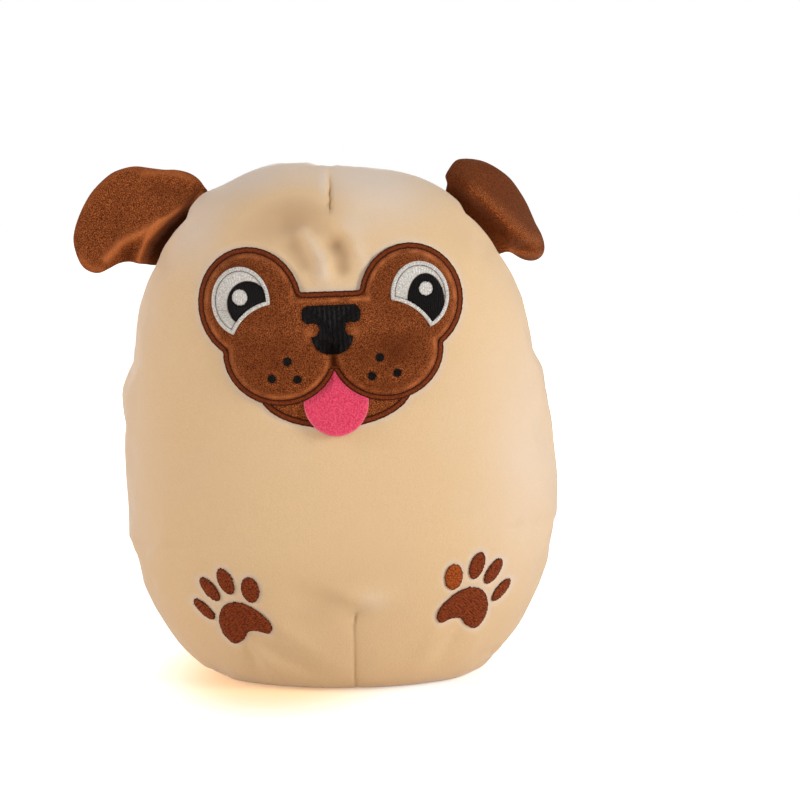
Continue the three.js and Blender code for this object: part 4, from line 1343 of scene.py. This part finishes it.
def makeEar(sign, side):
    shape = ear[side]
    length, origin, down, out, front = earPlan(sign)
    loop = splineLoop(shape["outline"], 12)
    middle = np.array(shape["middle"], float)
    away = loop - middle
    angles = np.arctan2(away[:, 1], away[:, 0])
    order = np.argsort(angles)
    bm = ballMesh(ear["cuts"])
    ball = coordinates(bm)
    angle = np.arctan2(ball[:, 1], ball[:, 0])
    share = np.hypot(ball[:, 0], ball[:, 1])
    radius = np.interp(angle, angles[order], np.linalg.norm(away[order], axis=1), period=2 * math.pi)
    x = middle[0] + np.cos(angle) * radius * share
    y = middle[1] + np.sin(angle) * radius * share
    tuck = 1 - smooth((y + 1) / ear["inside"])
    lift = shape["thickness"] * np.sign(ball[:, 2]) * np.sqrt(np.maximum(1 - share**3, 0)) * (1 - 0.55 * tuck)
    swing, topTurn, tipTurn = shape["angles"]
    total = np.radians(swing + topTurn + (tipTurn - topTurn) * smooth(x / ear["length"])) * (1 - tuck)
    r = ear["rootRadius"]
    outwards = y - lift * np.sin(total)
    forwards = (y - r) * np.tan(total) * (y > r) + lift * np.cos(total) + earForward(x, outwards, shape) * (1 - tuck)
    p = origin + x[:, None] * down + outwards[:, None] * out + forwards[:, None] * front
    moveVerts(bm, placed(tilted(p)))
    # Painted light on the ear's front: the whole ear made paler or darker, painted shade in the gutter behind the
    # crest, painted highlights along the ridges, and patches of painted highlight and shade
    heights, crests = zip(*shape["crest"])
    earPaintedLight = np.full(len(p), shape["pale"])
    earPaintedLight -= shape["gutterShade"] * smooth((np.interp(x, heights, crests) - 1.5 - outwards) / 3)
    for line, width, _, amount in shape["ridges"]:
        earPaintedLight += amount * hump(lineAway(x, outwards, line), width)
    for *place, amount in shape["nap_and_painted_light"]:
        earPaintedLight += amount * foldHump(x, outwards, *place)
    setLayer(bm, "nap_and_painted_light", earPaintedLight * (ball[:, 2] > -0.3))
    turnOutward(bm)
    nodes = [f"ear_{part}_{side}" for part in ("tab", "front", "back", "wadding")]
    piece = newPiece(f"ear_cloth_{side}", bm, brownCloth, replaces=nodes, slot="brown_cloth")
    fine = piece.modifiers.new("smooth", "SUBSURF")
    fine.levels = fine.render_levels = 1
    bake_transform(piece)


for sign, side in bothSides:
    makeEar(sign, side)
print("ears made")


stageSettings = {
    "floorSize": 8.0, "white": (1, 1, 1, 1), "plain": (0.95, 0.93, 0.9, 1), "bounce": (0.85, 0.76, 0.63, 1),
    # the floor's own light near the toy and far from it, and where it changes
    "near": 0.57, "far": 0.8, "fade": (0.25, 1.6),
    # a painted warm glow on the floor under the toy: its middle, its shape, where it ends and its colour
    "warmMiddle": (0.035, 0, 0), "warmScale": (1.7, 1, 1), "warmEnd": (0.045, 0.13), "warm": (1, 0.68, 0.42, 1),
    # the room's light from the front and from the back
    "front": 0.22, "back": 0.5,
    "aim": (0, 0, 0.12),
}
lamps = [
    ("key", (1.2, -0.75, 0.55), 0.6, 12.0, (1.0, 1.0, 0.99)),
    ("side", (-1.2, -0.45, 0.6), 0.6, 6.3, (1.0, 0.95, 0.95)),
    ("fill", (0.0, -1.6, 0.35), 0.7, 4.4, (1.0, 0.97, 0.93)),
    ("back", (-0.4, 1.3, 0.5), 0.8, 9.0, (0.96, 0.98, 1.0)),
]


def seenRay(tree):
    path = addNode(tree, "ShaderNodeLightPath")
    other = mathNode(tree, "MAXIMUM", path.outputs["Is Glossy Ray"], path.outputs["Is Transmission Ray"])
    return mathNode(tree, "MAXIMUM", path.outputs["Is Camera Ray"], other), path.outputs["Is Camera Ray"]


# The floor is white to the camera, keeps the toy's shadow, shows a painted warm glow under the toy, and sends a little
# warm light back up
def makeStage(settings):
    floor = bpy.data.materials.new("studio_floor")
    floor.use_nodes = True
    tree = floor.node_tree
    shader = tree.nodes["Principled BSDF"]
    shader.inputs["Roughness"].default_value = 0.9
    seen, direct = seenRay(tree)
    place = addNode(tree, "ShaderNodeTexCoord").outputs["Object"]
    oval = {"Vector": place, "Location": settings["warmMiddle"], "Scale": settings["warmScale"]}
    under = addNode(tree, "ShaderNodeMapping", oval).outputs[0]
    away, across = (
        addNode(tree, "ShaderNodeVectorMath", {0: at}, operation="LENGTH").outputs["Value"] for at in (place, under)
    )
    level = ranged(tree, away, *settings["fade"], settings["near"], settings["far"])
    # painted warm glow: under the toy the floor's colour and its own light are tinted orange
    beyond = ranged(tree, across, *settings["warmEnd"], interpolation_type="SMOOTHSTEP")
    paintedGlow = mixed(tree, beyond, settings["warm"], settings["white"])
    shown = mixed(tree, 1.0, settings["plain"], paintedGlow, blend_type="MULTIPLY")
    tree.links.new(mixed(tree, direct, settings["bounce"], shown), shader.inputs["Base Color"])
    glow = addNode(tree, "ShaderNodeEmission", {"Color": paintedGlow, "Strength": mathNode(tree, "MULTIPLY", seen, level)})
    both = addNode(tree, "ShaderNodeAddShader", {0: shader.outputs[0], 1: glow.outputs[0]})
    tree.links.new(both.outputs[0], tree.nodes["Material Output"].inputs["Surface"])
    bm = bmesh.new()
    bmesh.ops.create_grid(bm, x_segments=1, y_segments=1, size=settings["floorSize"])
    newPiece("floor", bm, floor)
    world = bpy.data.worlds.new("studio")
    bpy.context.scene.world = world
    world.use_nodes = True
    tree = world.node_tree
    seen, direct = seenRay(tree)
    direction = addNode(tree, "ShaderNodeSeparateXYZ", {0: addNode(tree, "ShaderNodeTexCoord").outputs["Generated"]})
    around = ranged(tree, direction.outputs[1], -0.7, 0.7, settings["front"], settings["back"])
    background = tree.nodes["Background"].inputs
    background["Color"].default_value = settings["white"]
    tree.links.new(ranged(tree, seen, 0.0, 1.0, around, 1.0), background["Strength"])


def makeLamp(name, place, size, power, color):
    lamp = bpy.data.lights.new(name, "AREA")
    lamp.shape = "DISK"
    lamp.size = size
    lamp.energy = power
    lamp.color = color
    holder = bpy.data.objects.new(name, lamp)
    holder.location = place
    holder.rotation_euler = (Vector(stageSettings["aim"]) - Vector(place)).to_track_quat("-Z", "Y").to_euler()
    bpy.context.scene.collection.objects.link(holder)


makeStage(stageSettings)
for settings in lamps:
    makeLamp(*settings)
bpy.context.scene.view_settings.view_transform = "Standard"
print("stage made")
